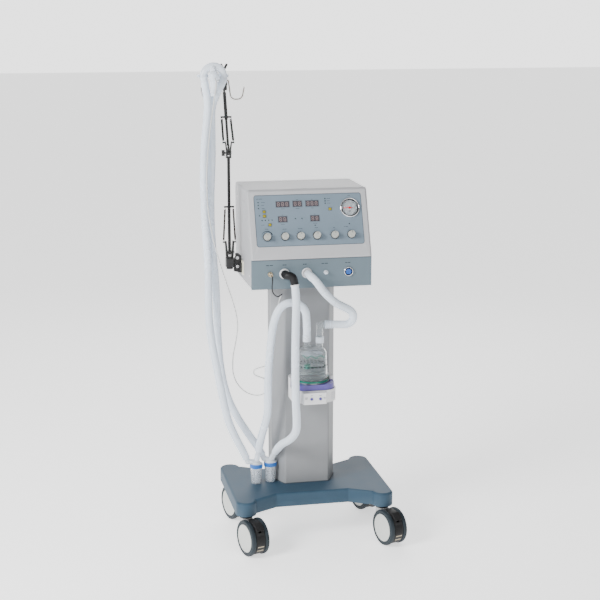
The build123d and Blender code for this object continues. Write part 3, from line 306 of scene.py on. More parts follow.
def slab(name, place, size, bevel, mat, body, segments=3):
    """Block with rounded edges. place is a matrix whose Z is the block's thickness."""
    shape = bmesh.new()
    bmesh.ops.create_cube(shape, size=1)
    bmesh.ops.scale(shape, vec=size, verts=shape.verts)
    bmesh.ops.bevel(shape, geom=shape.edges[:], offset=bevel, segments=segments, profile=0.5,
                    affect="EDGES")
    bmesh.ops.transform(shape, matrix=place, verts=shape.verts)
    vertices = [v.co.copy() for v in shape.verts]
    faces = [tuple(v.index for v in f.verts) for f in shape.faces]
    shape.free()
    return mesh_piece(name, vertices, faces, mat, body)


def printed(name, place, marks, mat, body, thickness=0.00012):
    """Flat printed bars on a surface: each mark is (x, y, width, height, turn)."""
    vertices, faces = [], []
    for x, y, width, height, angle in marks:
        base = len(vertices)
        turn = Matrix.Rotation(angle, 3, "Z")
        for z in (0, thickness):
            for sx, sy in ((-1, -1), (1, -1), (1, 1), (-1, 1)):
                corner = turn @ Vector((sx * width / 2, sy * height / 2, 0))
                vertices.append(place @ (Vector((x, y, z)) + corner))
        faces += [(base + 3, base + 2, base + 1, base), (base + 4, base + 5, base + 6, base + 7)]
        for k in range(4):
            n = (k + 1) % 4
            faces.append((base + k, base + n, base + 4 + n, base + 4 + k))
    return mesh_piece(name, vertices, faces, mat, body)


def bar_faces(first, steps):
    """Faces of a bar of square section: four points at each of its steps + 1 stations, from first."""
    faces = []
    for k in range(steps):
        a, b = first + k * 4, first + k * 4 + 4
        faces += [(a, a + 1, b + 1, b), (a + 2, b + 2, b + 3, a + 3)]
        faces += [(a + 1, a + 3, b + 3, b + 1), (a, b, b + 2, a + 2)]
    return faces + [(first, first + 2, first + 3, first + 1), (b, b + 1, b + 3, b + 2)]


def wrapped(name, centre, radius, dashes, mat, body, thickness=0.0003):
    """Marks printed round an upright cylinder: each is (angle, angle, z, z, height)."""
    vertices, faces, steps = [], [], 4
    for angle, last_angle, z, last_z, height in dashes:
        base = len(vertices)
        for k in range(steps + 1):
            t = k / steps
            turn = angle + (last_angle - angle) * t
            level = z + (last_z - z) * t
            for reach in (radius, radius + thickness):
                for side in (-height / 2, height / 2):
                    spot = Vector((reach * math.cos(turn), reach * math.sin(turn), level + side))
                    vertices.append(centre + spot)
        faces += bar_faces(base, steps)
    return mesh_piece(name, vertices, faces, mat, body)


def border(half_width, half_height, width, height, line):
    """Marks for the four sides of a rectangle: width and height are the lengths of its bars."""
    sides = [(0, side * half_height, width, line, 0) for side in (-1, 1)]
    return sides + [(side * half_width, 0, line, height, 0) for side in (-1, 1)]


def facing(origin, x_axis, z_axis):
    """Matrix with its Z along z_axis and its X as near as can be to x_axis."""
    z = Vector(z_axis).normalized()
    y = z.cross(Vector(x_axis)).normalized()
    x = y.cross(z)
    place = Matrix((x, y, z)).transposed().to_4x4()
    place.translation = origin
    return place


def finish_node(node, mat):
    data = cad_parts[node].data
    data.materials.clear()
    data.materials.append(mat)


def paint_node(node, mats, choose):
    """Gives each face of a CAD node one of several finishes, by where it is."""
    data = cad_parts[node].data
    data.materials.clear()
    for mat in mats:
        data.materials.append(mat)
    for face in data.polygons:
        face.material_index = choose(face.center - TROLLEY)


# ---------------------------------------------------------------- hoses and lines
def curve_points(route):
    """Points along the smooth curve that a route controls."""
    curve = bpy.data.curves.new("route", "CURVE")
    curve.dimensions = "3D"
    curve.resolution_u = 40
    spline = curve.splines.new("NURBS")
    spline.points.add(len(route) - 1)
    for point, (x, y, z) in zip(spline.points, route):
        point.co = (*at(x, y, z), 1)
    spline.order_u = 3
    spline.use_endpoint_u = True
    holder = bpy.data.objects.new("route", curve)
    mesh = bpy.data.meshes.new_from_object(holder)
    points = [v.co.copy() for v in mesh.vertices]
    bpy.data.objects.remove(holder)
    bpy.data.meshes.remove(mesh)
    bpy.data.curves.remove(curve)
    return points


def evenly(points, step):
    """The same line with points at equal distances."""
    lengths = [(b - a).length for a, b in zip(points, points[1:])]
    total = sum(lengths)
    count = max(round(total / step), 2)
    result, travelled, index = [points[0].copy()], 0.0, 0
    for k in range(1, count):
        wanted = total * k / count
        while travelled + lengths[index] < wanted:
            travelled += lengths[index]
            index += 1
        share = (wanted - travelled) / lengths[index]
        result.append(points[index].lerp(points[index + 1], share))
    return result + [points[-1].copy()]


def length_of(points):
    return sum((b - a).length for a, b in zip(points, points[1:]))


def tube(name, points, radius_at, sides, mat, body, gone=0.0):
    """Round tube along points. radius_at(distance) gives its radius, counted from gone."""
    direction = (points[1] - points[0]).normalized()
    side = direction.orthogonal().normalized()
    vertices, faces, distance = [], [], gone
    for k, point in enumerate(points):
        if k:
            distance += (point - points[k - 1]).length
        ahead = points[min(k + 1, len(points) - 1)] - points[max(k - 1, 0)]
        turn = direction.rotation_difference(ahead.normalized())
        direction = ahead.normalized()
        side = (turn @ side).normalized()
        across = direction.cross(side)
        radius = radius_at(distance)
        for n in range(sides):
            angle = math.tau * n / sides
            vertices.append(point + (side * math.cos(angle) + across * math.sin(angle)) * radius)
    for k in range(len(points) - 1):
        for n in range(sides):
            a, b = k * sides + n, k * sides + (n + 1) % sides
            faces.append((a, b, b + sides, a + sides))
    faces.append(tuple(reversed(range(sides))))
    faces.append(tuple(range(len(vertices) - sides, len(vertices))))
    return mesh_piece(name, vertices, faces, mat, body, sharp=60)


# A cuff is smooth, a little thinner than the hose, with one ridge near its inner end
CUFF_DROP, RIDGE_HEIGHT, RIDGE_PLACE, RIDGE_WIDTH = 0.0009, 0.0008, 0.004, 0.0012


def corrugated(total, cuff_start, cuff_end):
    """Radius along a corrugated hose with a smooth cuff at each end."""
    def radius_at(distance):
        into = min(distance - cuff_start, total - cuff_end - distance)
        if into < 0:
            ridge = math.exp(-((into + RIDGE_PLACE) / RIDGE_WIDTH) ** 2)
            return HOSE_RADIUS - CUFF_DROP + RIDGE_HEIGHT * ridge
        groove = 0.5 - 0.5 * math.cos(math.tau * distance / HOSE_PITCH)
        return HOSE_RADIUS - HOSE_GROOVE * groove
    return radius_at


def split_at_heights(points, heights):
    """Cuts a rising line where it last passes each height."""
    pieces, rest = [], points
    for height in heights:
        cut = max(k for k, point in enumerate(rest) if point.z < height)
        pieces.append(rest[: cut + 1])
        rest = rest[cut:]
    return pieces + [rest]


# The hoses that go up the arm are cut at these heights into stretches, each named after one part of the arm
ARM_CHAIN = ["trolley", "turret", "lower_arm", "upper_arm", "arm_head"]
CUT_HEIGHTS = [0.900, 1.120, 1.345]


def declare_hose(node):
    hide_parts(node)


def rising_hose(node, points, radius_at, sides, mat, gone=0.0):
    """The stretches of a hose that goes up the arm."""
    for k, part in enumerate(split_at_heights(points, CUT_HEIGHTS)):
        piece = tube(f"{node}_{ARM_CHAIN[k + 1]}", part, radius_at, sides, mat, None, gone)
        declare_hose(node)
        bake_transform(piece)
        gone += length_of(part)


def still_hose(name, route, cuff_start, cuff_end):
    points = evenly(curve_points(route), HOSE_PITCH / 4)
    radius_at = corrugated(length_of(points), cuff_start, cuff_end)
    piece = tube(name + "_tube", points, radius_at, 28, HOSE, "trolley")
    declare_hose(name)


def make_sensor_line():
    """Black lead and thin clear line. It hangs down from its socket before it goes up the arm."""
    def radius_at(distance):
        return LINE_RADIUS

    points = evenly(curve_points(SENSOR_ROUTE), LINE_STEP)
    lowest = min(range(len(points)), key=lambda k: points[k].z)
    hanging = tube("sensor_line_hanging", points[: lowest + 1], radius_at, 12, LINE_CLEAR, "trolley")
    declare_hose("sensor_line")
    hanging.data.materials.append(LINE_BLACK)
    for face in hanging.data.polygons:
        if max(face.vertices) < BLACK_LEAD / LINE_STEP * 12:
            face.material_index = 1
    rising_hose("sensor_line", points[lowest:], radius_at, 12, LINE_CLEAR)


def make_hoses():
    still_hose("inlet_hose", INLET_ROUTE, 0.030, 0.034)
    still_hose("humid_hose", HUMID_ROUTE, 0.034, 0.026)
    still_hose("return_hose", RETURN_ROUTE, 0.026, 0.026)
    for name, route in (("left_limb_hose", LEFT_LIMB_ROUTE), ("right_limb_hose", RIGHT_LIMB_ROUTE)):
        points = evenly(curve_points(route), HOSE_PITCH / 4)
        radius_at = corrugated(length_of(points), 0.026, 0.030)
        rising_hose(name, points, radius_at, 28, HOSE)
    make_sensor_line()


# ---------------------------------------------------------------- trolley
def caster_places():
    for name, side_x, side_y in (("fl", -1, -1), ("fr", 1, -1), ("rl", -1, 1), ("rr", 1, 1)):
        middle = at(side_x * LOBE_X, side_y * LOBE_Y, 0)
        yield name, Matrix.Translation(middle) @ Matrix.Rotation(CASTER_YAW, 4, "Z")


def make_wheels():
    tyre = [(0.0165, 0.0462), (0.0165, 0.0560), (0.0180, 0.0590), (0.0205, 0.0600), (0.0265, 0.0600),
            (0.0298, 0.0590), (0.0315, 0.0560), (0.0315, 0.0535), (0.0308, 0.0528), (0.0308, 0.0512),
            (0.0315, 0.0505), (0.0315, 0.0462), (0.0165, 0.0462)]
    cap = [(0.0165, 0.0200), (0.0165, 0.0460), (0.0312, 0.0460), (0.0318, 0.0446), (0.0310, 0.0428),
           (0.0318, 0.0400), (0.0330, 0.0250), (0.0334, 0.0130), (0.0331, 0.0105), (0.0338, 0.0092),
           (0.0341, 0.0002)]
    for name, place in caster_places():
        axle = place @ Vector((0, -CASTER_TRAIL, WHEEL_RADIUS))
        for side, label in ((-1, "a"), (1, "b")):
            axis = place.to_3x3() @ Vector((side, 0, 0))
            body = f"wheels_{name}"
            lathe(f"tyre_{name}_{label}", axle, axis, tyre, TYRE, body, 96, 0.0012)
            lathe(f"hub_{name}_{label}", axle, axis, cap, HUB_WHITE, body, 72, 0.0008)
        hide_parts(f"caster_{name}_wheels")


def make_forks():
    for name, place in caster_places():
        inverse = place.inverted()

        def finish(centre, inverse=inverse):
            local = inverse @ (centre + TROLLEY)
            if local.z > 0.1145:
                return 1
            return 0 if local.y > -0.047 and local.z > 0.083 else 1

        paint_node(f"caster_{name}_yoke", [FORK_GREY, BLACK_PLASTIC], finish)
        plate_angle = math.radians(-24)
        out = Vector((0, -math.cos(plate_angle), math.sin(plate_angle)))
        spot = place @ (Vector((0, -CASTER_TRAIL, WHEEL_RADIUS)) + out * 0.0572)
        plate = facing(spot, place.to_3x3() @ Vector((1, 0, 0)), place.to_3x3() @ out)
        slab(f"caster_label_{name}", plate, (0.023, 0.019, 0.0010), 0.0004, LABEL_CREAM, f"caster_{name}")


RIB_OFFSETS = [-0.0115 + 0.0046 * k for k in range(6)]


def make_housing_ribs():
    """Raised ribs round the front of each black wheel housing."""
    for name, place in caster_places():
        vertices, faces, steps = [], [], 14
        for x in RIB_OFFSETS:
            base = len(vertices)
            for k in range(steps + 1):
                angle = math.radians(-8 + (30 if name[0] == "f" else 72) * k / steps)
                for reach in (0.0576, 0.0589):
                    for half in (-0.0008, 0.0008):
                        back, rise = reach * math.cos(angle), reach * math.sin(angle)
                        spot = Vector((x + half, -CASTER_TRAIL - back, WHEEL_RADIUS + rise))
                        vertices.append(place @ spot)
            faces += bar_faces(base, steps)
        mesh_piece(f"housing_ribs_{name}", vertices, faces, BLACK_PLASTIC, f"caster_{name}")


PEDAL_PIVOT, PEDAL_ANGLE = 0.050, math.radians(48)


def make_pedals():
    radial = Vector((0, -math.cos(PEDAL_ANGLE), math.sin(PEDAL_ANGLE)))
    tangent = Vector((0, -math.sin(PEDAL_ANGLE), -math.cos(PEDAL_ANGLE)))
    for name, place in caster_places():
        if name.startswith("r"):
            continue
        body = f"pedal_{name}"
        hub = Vector((0, -CASTER_TRAIL, WHEEL_RADIUS))
        turn = place.to_3x3()
        across, out = turn @ Vector((1, 0, 0)), turn @ radial
        pad_at = place @ (hub + radial * (PEDAL_PIVOT + 0.0125) + tangent * -0.002)
        pad = facing(pad_at, across, out)
        top = slab(f"pedal_pad_{name}", pad, (0.028, 0.030, 0.005), 0.0016, BLACK_PLASTIC, body)
        arm_at = place @ (hub + radial * (PEDAL_PIVOT + 0.0045))
        slab(f"pedal_arm_{name}", facing(arm_at, across, out), (0.0088, 0.0088, 0.012), 0.001,
             BLACK_PLASTIC, body)
        pin_at = place @ (hub + radial * PEDAL_PIVOT)
        lathe(f"pedal_pin_{name}", pin_at, across, [(-0.0148, 0.0024), (0.0148, 0.0024)], STEEL, body, 24)
        ribs = [(x, 0, 0.0016, 0.0250, 0) for x in RIB_OFFSETS]
        printed(f"pedal_ribs_{name}", pad @ Matrix.Translation((0, 0, 0.0025)), ribs, BLACK_PLASTIC, body,
                0.0005)
        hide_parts(f"caster_{name}_pedal")


def make_column_details():
    """Dark gaskets at the column's foot and top, its side seams and its rear screws."""
    outline = [(-0.076, -0.040), (0.076, -0.040), (0.108, 0.030), (0.108, 0.100), (-0.108, 0.100),
               (-0.108, 0.030)]
    for name, z, grow, radius in (("column_gasket", 0.1722, 0.0012, 0.0016),
                                  ("column_top_gasket", 0.8595, 0.0004, 0.0012)):
        corners = []
        for x, y in outline:
            scale_x, scale_y = 1 + grow / 0.100, 1 + grow / 0.070
            corners.append(Vector((x * scale_x, 0.030 + (y - 0.030) * scale_y, 0)))
        loop = corners[-1:] + corners + corners[:1]
        line = soften([c.xy for c in loop], 0.0085, 5)[1:-1]
        points = [at(p[0], p[1], z) for p in line]
        tube(name, points + points[:1], lambda distance, r=radius: r, 10, SEAM_AND_SHADOW_DARK, "trolley")
    for side in (-1, 1):
        seam = facing(at(side * 0.1081, 0.066, 0.516), (0, side, 0), (side, 0, 0))
        printed(f"column_seam_{'left' if side < 0 else 'right'}", seam, [(0, 0, 0.0009, 0.684, 0)],
                SEAM_AND_SHADOW_DARK, "trolley")
    for k, z in enumerate((0.230, 0.520, 0.800)):
        screw(f"column_screw_{k + 1}", at(0.0, 0.100, z), (0, 1, 0), 0.0042, "trolley")


def screw(name, origin, axis, radius, body):
    """Pan-head screw with a cross slot, its head proud of a surface."""
    lathe(name, origin, axis,
          [(-0.0004, radius), (radius * 0.28, radius), (radius * 0.5, radius * 0.55),
           (radius * 0.52, radius * 0.02)], STEEL, body, 28, radius * 0.2)
    place = facing(origin + Vector(axis) * radius * 0.5, (0, 0, 1) if abs(axis[2]) < 0.9 else (1, 0, 0),
                   axis)
    printed(name + "_slot", place,
            [(0, 0, radius * 1.1, radius * 0.2, 0.6), (0, 0, radius * 0.2, radius * 1.1, 0.6)], SEAM_AND_SHADOW_DARK,
            body)


# ---------------------------------------------------------------- console
def on_fascia(u, v, out=0.0):
    """Matrix at a place on the control panel: Z points out of it and Y up its slope."""
    up = Vector((0, math.sin(SLOPE), math.cos(SLOPE)))
    normal = Vector((0, -math.cos(SLOPE), math.sin(SLOPE)))
    origin = at((u - 0.5) * FASCIA_W, LIP_Y, LIP_Z) + up * (FASCIA_START + (1 - v) * FASCIA_H)
    return facing(origin + normal * (FASCIA_DEPTH + out), (1, 0, 0), normal)


DISPLAYS = [
    (0.264, 0.185, 0.044, 0.019, 3), (0.400, 0.185, 0.030, 0.019, 2), (0.537, 0.185, 0.043, 0.019, 3),
    (0.255, 0.475, 0.029, 0.019, 2), (0.553, 0.475, 0.029, 0.019, 2),
]
KNOB_UV = [(0.10, 0.81), (0.265, 0.81), (0.41, 0.81), (0.56, 0.81), (0.725, 0.81), (0.88, 0.81)]
KEY_UV = [(0.09, 0.32), (0.09, 0.405), (0.135, 0.575), (0.70, 0.305)]
LAMP_UV = [(0.04, 0.14), (0.04, 0.195), (0.04, 0.255), (0.045, 0.395), (0.065, 0.485), (0.095, 0.485),
           (0.125, 0.485), (0.157, 0.485), (0.372, 0.47), (0.433, 0.47), (0.66, 0.10), (0.66, 0.145),
           (0.66, 0.19), (0.55, 0.61), (0.87, 0.60)]
GAUGE_UV = (0.885, 0.29)
CAPTIONS = [(0.052, 0.075, 0.020), (0.085, 0.14, 0.012), (0.080, 0.195, 0.009), (0.083, 0.255, 0.010),
            (0.264, 0.275, 0.011), (0.400, 0.275, 0.013), (0.537, 0.275, 0.009), (0.400, 0.105, 0.006),
            (0.537, 0.105, 0.005), (0.255, 0.570, 0.012), (0.553, 0.570, 0.014), (0.255, 0.395, 0.006),
            (0.553, 0.395, 0.006), (0.693, 0.10, 0.012), (0.690, 0.145, 0.009), (0.693, 0.19, 0.011),
            (0.885, 0.055, 0.008), (0.070, 0.575, 0.010), (0.10, 0.655, 0.010), (0.265, 0.665, 0.014),
            (0.41, 0.665, 0.015), (0.56, 0.655, 0.011), (0.725, 0.665, 0.006), (0.835, 0.655, 0.014)]


def seven_segments(x, width, height, stroke):
    """Bars of one figure eight, centred on x."""
    bars = [(x, y, width * 0.72, stroke, 0) for y in (-height / 2, 0, height / 2)]
    for side in (-1, 1):
        for half in (-1, 1):
            bars.append((x + side * width / 2, half * height / 4, stroke, height * 0.38, 0))
    return bars


def make_displays():
    for number, (u, v, width, height, digits) in enumerate(DISPLAYS, start=1):
        place = on_fascia(u, v)
        rim = border(width / 2 + 0.0007, height / 2 + 0.0007, width + 0.0028, height, 0.0014)
        printed(f"display_rim_{number}", place, rim, WINDOW_EDGE, "trolley", 0.0007)
        window = on_fascia(u, v, -0.0001)
        spacing = width / digits
        figures = []
        for k in range(digits):
            figures += seven_segments((k - (digits - 1) / 2) * spacing * 0.94, 0.0068, 0.0115, 0.0016)
        printed(f"display_figures_{number}", window, figures, DIGIT, "trolley")
    finish_node("display_modules", WINDOW)


def make_lamps():
    for number, (u, v) in enumerate(LAMP_UV, start=1):
        place = on_fascia(u, v)
        lathe(f"lamp_{number}", place.translation, place.col[2].xyz,
              [(-0.0002, 0.0021), (0.0008, 0.0020), (0.0016, 0.0013), (0.0019, 0.0001)], LAMP_DARK,
              "trolley", 20)


def make_panel_print():
    """Seams, scales and blank caption bars printed on the two panels."""
    width, height, line = FASCIA_W, FASCIA_H, 0.0011
    place = on_fascia(0.5, 0.5)
    edge = border(width / 2 - 0.0014, height / 2 - 0.0014, width - 0.016, height - 0.016, line)
    for sx, sy in ((-1, -1), (1, -1), (1, 1), (-1, 1)):
        middle = (sx * (width / 2 - 0.0080), sy * (height / 2 - 0.0080))
        for k in range(8):
            angle = math.atan2(sy, sx) + (k - 3.5) * math.radians(11.5)
            edge.append((middle[0] + 0.0066 * math.cos(angle), middle[1] + 0.0066 * math.sin(angle), line,
                         0.0016, angle))
    printed("fascia_edge_line", place, edge, PRINT_MID, "trolley")
    captions = []
    for u, v, length in CAPTIONS:
        x, y = (u - 0.5) * width, (0.5 - v) * height
        captions += [(x - length * 0.30, y, length * 0.36, 0.0016, 0),
                     (x + length * 0.22, y, length * 0.52, 0.0016, 0)]
    printed("fascia_captions", place, captions, PRINT_MID, "trolley")
    for number, (u, v) in enumerate(KNOB_UV, start=1):
        scale = []
        for k in range(11):
            angle = math.radians(90 + (k - 5) * 28)
            scale.append((0.0170 * math.cos(angle), 0.0170 * math.sin(angle), 0.0024, 0.0006, angle))
        printed(f"knob_scale_{number}", on_fascia(u, v), scale, PRINT_DARK, "trolley")
    arc = []
    for k in range(26):
        angle = math.radians(142 - k * 4.6)
        arc.append((0.0196 * math.cos(angle), 0.0196 * math.sin(angle), 0.0008 + 0.00011 * k, 0.0018, angle))
    printed("oxygen_arc", on_fascia(*KNOB_UV[0]), arc, PRINT_DARK, "trolley")
    ports = facing(at(0, PORT_FACE_Y, PORT_Z), (1, 0, 0), (0, -1, 0))
    marks = []
    for x, length in ((-0.140, 0.024), (-0.091, 0.013), (-0.024, 0.013), (0.042, 0.022), (0.119, 0.018)):
        marks += [(x - length * 0.27, 0.029, length * 0.42, 0.0022, 0),
                  (x + length * 0.25, 0.029, length * 0.46, 0.0022, 0)]
    printed("port_captions", ports, marks, PRINT_DARK, "trolley")


def make_gauge():
    place = on_fascia(*GAUGE_UV)
    origin, normal = place.translation, place.col[2].xyz
    bezel = lathe("gauge_bezel", origin, normal,
                  [(-0.0010, 0.0290), (-0.0010, 0.0330), (0.0028, 0.0330), (0.0052, 0.0316),
                   (0.0058, 0.0300), (0.0046, 0.0288), (-0.0010, 0.0290)], CHROME, "trolley", 96, 0.001)
    lathe("gauge_inner_ring", origin, normal, ring_profile(0.0266, 0.0287, -0.0030, 0.0034), BLACK_PLASTIC,
          "trolley", 96)
    lathe("gauge_dial", origin, normal,
          [(-0.0045, 0.0001), (-0.0045, 0.0270), (-0.0032, 0.0270), (-0.0030, 0.0001)], DIAL_WHITE,
          "trolley", 72)
    marks = []
    for k in range(41):
        angle = math.radians(225 - k * 270 / 40)
        reach = 0.0044 if k % 5 == 0 else 0.0024
        marks.append(((0.0250 - reach / 2) * math.cos(angle), (0.0250 - reach / 2) * math.sin(angle), reach,
                      0.0008 if k % 5 == 0 else 0.0004, angle))
    dial = on_fascia(*GAUGE_UV, -0.0030)
    printed("gauge_ticks", dial, marks, PRINT_DARK, "trolley")
    printed("gauge_unit_bar", dial, [(0, -0.0105, 0.009, 0.0016, 0), (0, -0.0140, 0.006, 0.0012, 0)],
            PRINT_MID, "trolley")
    lathe("gauge_lens", origin, normal,
          [(0.0024, 0.0001), (0.0024, 0.0286), (0.0034, 0.0286), (0.0042, 0.0001)], LENS, "trolley", 72)
    lathe("gauge_hub", origin, normal,
          [(0.0001, 0.0036), (0.0009, 0.0034), (0.0016, 0.0020), (0.0018, 0.0001)], NEEDLE_RED, "needle",
          32)
    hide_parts("gauge_case")
    finish_node("gauge_needle", NEEDLE_RED)


def make_knobs():
    for number, (u, v) in enumerate(KNOB_UV, start=1):
        place = on_fascia(u, v)
        origin, normal, body = place.translation, place.col[2].xyz, f"knob_{number}"
        skirt = lathe(f"knob_skirt_{number}", origin, normal,
                      [(0.0006, 0.0030), (0.0006, 0.0140), (0.0034, 0.0138), (0.0042, 0.0124),
                       (0.0042, 0.0030)], KNOB_SKIRT, body, 72, 0.0008)
        lathe(f"knob_grip_{number}", origin, normal,
              [(0.0042, 0.0122), (0.0060, 0.0121), (0.0150, 0.0110), (0.0176, 0.0100)], KNOB_GREY, body,
              120, 0.0006, flutes=20, flute=0.05)
        lathe(f"knob_cap_{number}", origin, normal,
              [(0.0150, 0.0102), (0.0176, 0.0099), (0.0181, 0.0088), (0.0174, 0.0072), (0.0172, 0.0002)],
              KNOB_GREY, body, 72, 0.0005)
        printed(f"knob_pointer_{number}", place @ Matrix.Translation((0, 0, 0.0181)),
                [(0, 0.0058, 0.0012, 0.0062, 0)], PRINT_MID, body, 0.0003)
        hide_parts(f"knob_{number}")


def make_keys():
    for number, (u, v) in enumerate(KEY_UV, start=1):
        cap = slab(f"key_cap_{number}", on_fascia(u, v, 0.0004), (0.009, 0.008, 0.0036), 0.0013, KEY_YELLOW,
                   f"key_{number}", 4)
        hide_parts(f"key_{number}")
        rim = border(0.0054, 0.0049, 0.0112, 0.0100, 0.0007)
        printed(f"key_frame_{number}", on_fascia(u, v), rim, PRINT_MID, "trolley", 0.0004)


PORTS = {"sensor": -0.138, "left": -0.091, "right": -0.017, "aux": 0.046, "button": 0.121}


def on_port(name, port, *turned):
    """Turned piece that stands out of the connector panel. turned is what lathe takes from profile on."""
    return lathe(name, at(PORTS[port], PORT_FACE_Y, PORT_Z), (0, -1, 0), *turned)


def make_ports():
    ring = [(-0.002, 0.0125), (-0.002, 0.0170), (0.0035, 0.0170), (0.0060, 0.0150), (0.0060, 0.0125),
            (-0.002, 0.0125)]
    for side in ("right", "left"):
        on_port(f"port_ring_{side}", side, ring, WHITE_PLASTIC, "trolley", 72, 0.0008)
    on_port("port_nozzle_right", "right", ring_profile(0.0098, 0.0120, -0.030, 0.0218), BLACK_PLASTIC,
            "trolley", 64)
    on_port("port_collar_right", "right", ring_profile(0.0121, 0.0136, 0.0130, 0.0216), WHITE_PLASTIC,
            "trolley", 64)
    route = [(PORTS["left"], PORT_FACE_Y + 0.004, PORT_Z), (PORTS["left"], -0.137, PORT_Z),
             (PORTS["left"] + 0.001, -0.153, PORT_Z + 0.001), (-0.078, -0.159, PORT_Z),
             (-0.0688, -0.160, PORT_Z - 0.008), (-0.066, -0.164, 0.8835)]
    line = evenly(curve_points(route), 0.0012)

    def elbow_radius(distance):
        rib = math.exp(-((distance - 0.022) / 0.0018) ** 2) + math.exp(-((distance - 0.030) / 0.0018) ** 2)
        return 0.0130 + 0.0012 * min(rib, 1)

    tube("port_elbow_left", line, elbow_radius, 40, BLACK_PLASTIC, "trolley")
    lathe("port_elbow_lip", line[-1] + (line[-2] - line[-1]).normalized() * 0.004, line[-1] - line[-3],
          ring_profile(0.0125, 0.0143, 0.0, 0.0042), WHITE_PLASTIC, "trolley", 48)
    on_port("sensor_nut", "sensor", [(0, 0.0088), (0.0034, 0.0088), (0.005, 0.0078), (0.005, 0.004)], BRASS,
            "trolley", 6, 0.0003)
    on_port("sensor_barrel", "sensor",
            [(0, 0.0060), (0.0120, 0.0060), (0.0124, 0.0052), (0.0170, 0.0052), (0.0174, 0.0060),
             (0.0218, 0.0058), (0.0222, 0.0024)], BRASS, "trolley", 40, 0.0004)
    on_port("aux_barb", "aux",
            [(0, 0.0072), (0.0050, 0.0070), (0.0056, 0.0036), (0.0110, 0.0034), (0.0114, 0.0042),
             (0.0150, 0.0032), (0.0154, 0.0042), (0.0196, 0.0028), (0.0198, 0.0010)], CUFF, "trolley", 40,
            0.0003)
    on_port("button_bezel", "button",
            [(-0.002, 0.0126), (-0.002, 0.0160), (0.0030, 0.0160), (0.0058, 0.0146), (0.0062, 0.0132),
             (0.0050, 0.0126), (-0.002, 0.0126)], CHROME, "trolley", 80, 0.0008)
    on_port("button_black_ring", "button", ring_profile(0.0100, 0.0127, -0.002, 0.0052), BLACK_PLASTIC,
            "trolley", 64)
    cap = on_port("button_cap", "button",
                  [(-0.006, 0.0094), (0.0058, 0.0094), (0.0072, 0.0084), (0.0069, 0.0060), (0.0064, 0.0001)],
                  BUTTON_BLUE, "manual_button", 64, 0.0006)
    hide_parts("manual_button")
    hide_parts("gas_ports")


def make_console_details():
    for side, label in ((-1, "left"), (1, "right")):
        for k, (y, z) in enumerate(((-0.085, 0.905), (0.150, 0.905), (0.150, 1.135), (0.020, 1.135))):
            screw(f"console_screw_{label}_{k + 1}", at(side * CONSOLE_X, y, z), (side, 0, 0), 0.0034,
                  "trolley")
    places = [(-0.172, 0.892), (0.172, 0.892), (-0.172, 1.142), (0.172, 1.142), (0.0, 0.892), (0.0, 1.142)]
    for k, (x, z) in enumerate(places):
        screw(f"rear_screw_{k + 1}", at(x, CONSOLE_BACK_Y - 0.001, z), (0, 1, 0), 0.0034, "trolley")
    # Painted shadow: a thin dark strip across the top of the port panel stands in for the shade the lip
    # casts on it
    under_lip = facing(at(0, PORT_FACE_Y - 0.0001, 0.9606), (1, 0, 0), (0, -1, 0))
    printed("lip_painted_shadow", under_lip, [(0, 0, 0.396, 0.0026, 0)], SEAM_AND_SHADOW_DARK, "trolley")
    paint_node("rear_connectors", [STEEL, BLACK_PLASTIC], lambda c: 0 if c.x < 0 else 1)
    paint_node("internal_units", [BOARD, STEEL_DARK], lambda c: 0 if 0.059 < c.y < 0.063 else 1)


# ---------------------------------------------------------------- support arm
COIL_STEPS = 12                 # points in one turn of a spring
COIL_END = 0.04                 # share of a spring's length that is straight at each end
# Springs: distance from the middle of the arm and height, of the foot and then of the top
LOWER_SPRING = [(0.0196, 0.997), (0.0135, 1.1085)]
UPPER_SPRING = [(0.0165, 1.327), (0.0145, 1.4035)]
UPPER_CROSS_Z = 1.407


def coil(name, start, end, radius, wire, turns, mat):
    """Coil spring between two points, whose straight ends run into its pins."""
    axis = end - start
    side = axis.orthogonal().normalized()
    across = axis.normalized().cross(side)
    points = []
    for k in range(turns * COIL_STEPS + 1):
        t = k / (turns * COIL_STEPS)
        angle = math.tau * k / COIL_STEPS
        along = axis * (COIL_END + (1 - 2 * COIL_END) * t)
        points.append(start + along + (side * math.cos(angle) + across * math.sin(angle)) * (radius - wire))
    points = [start] + points + [end]
    piece = tube(name, points, lambda distance: wire, 6, mat, None)
    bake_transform(piece)
    return piece


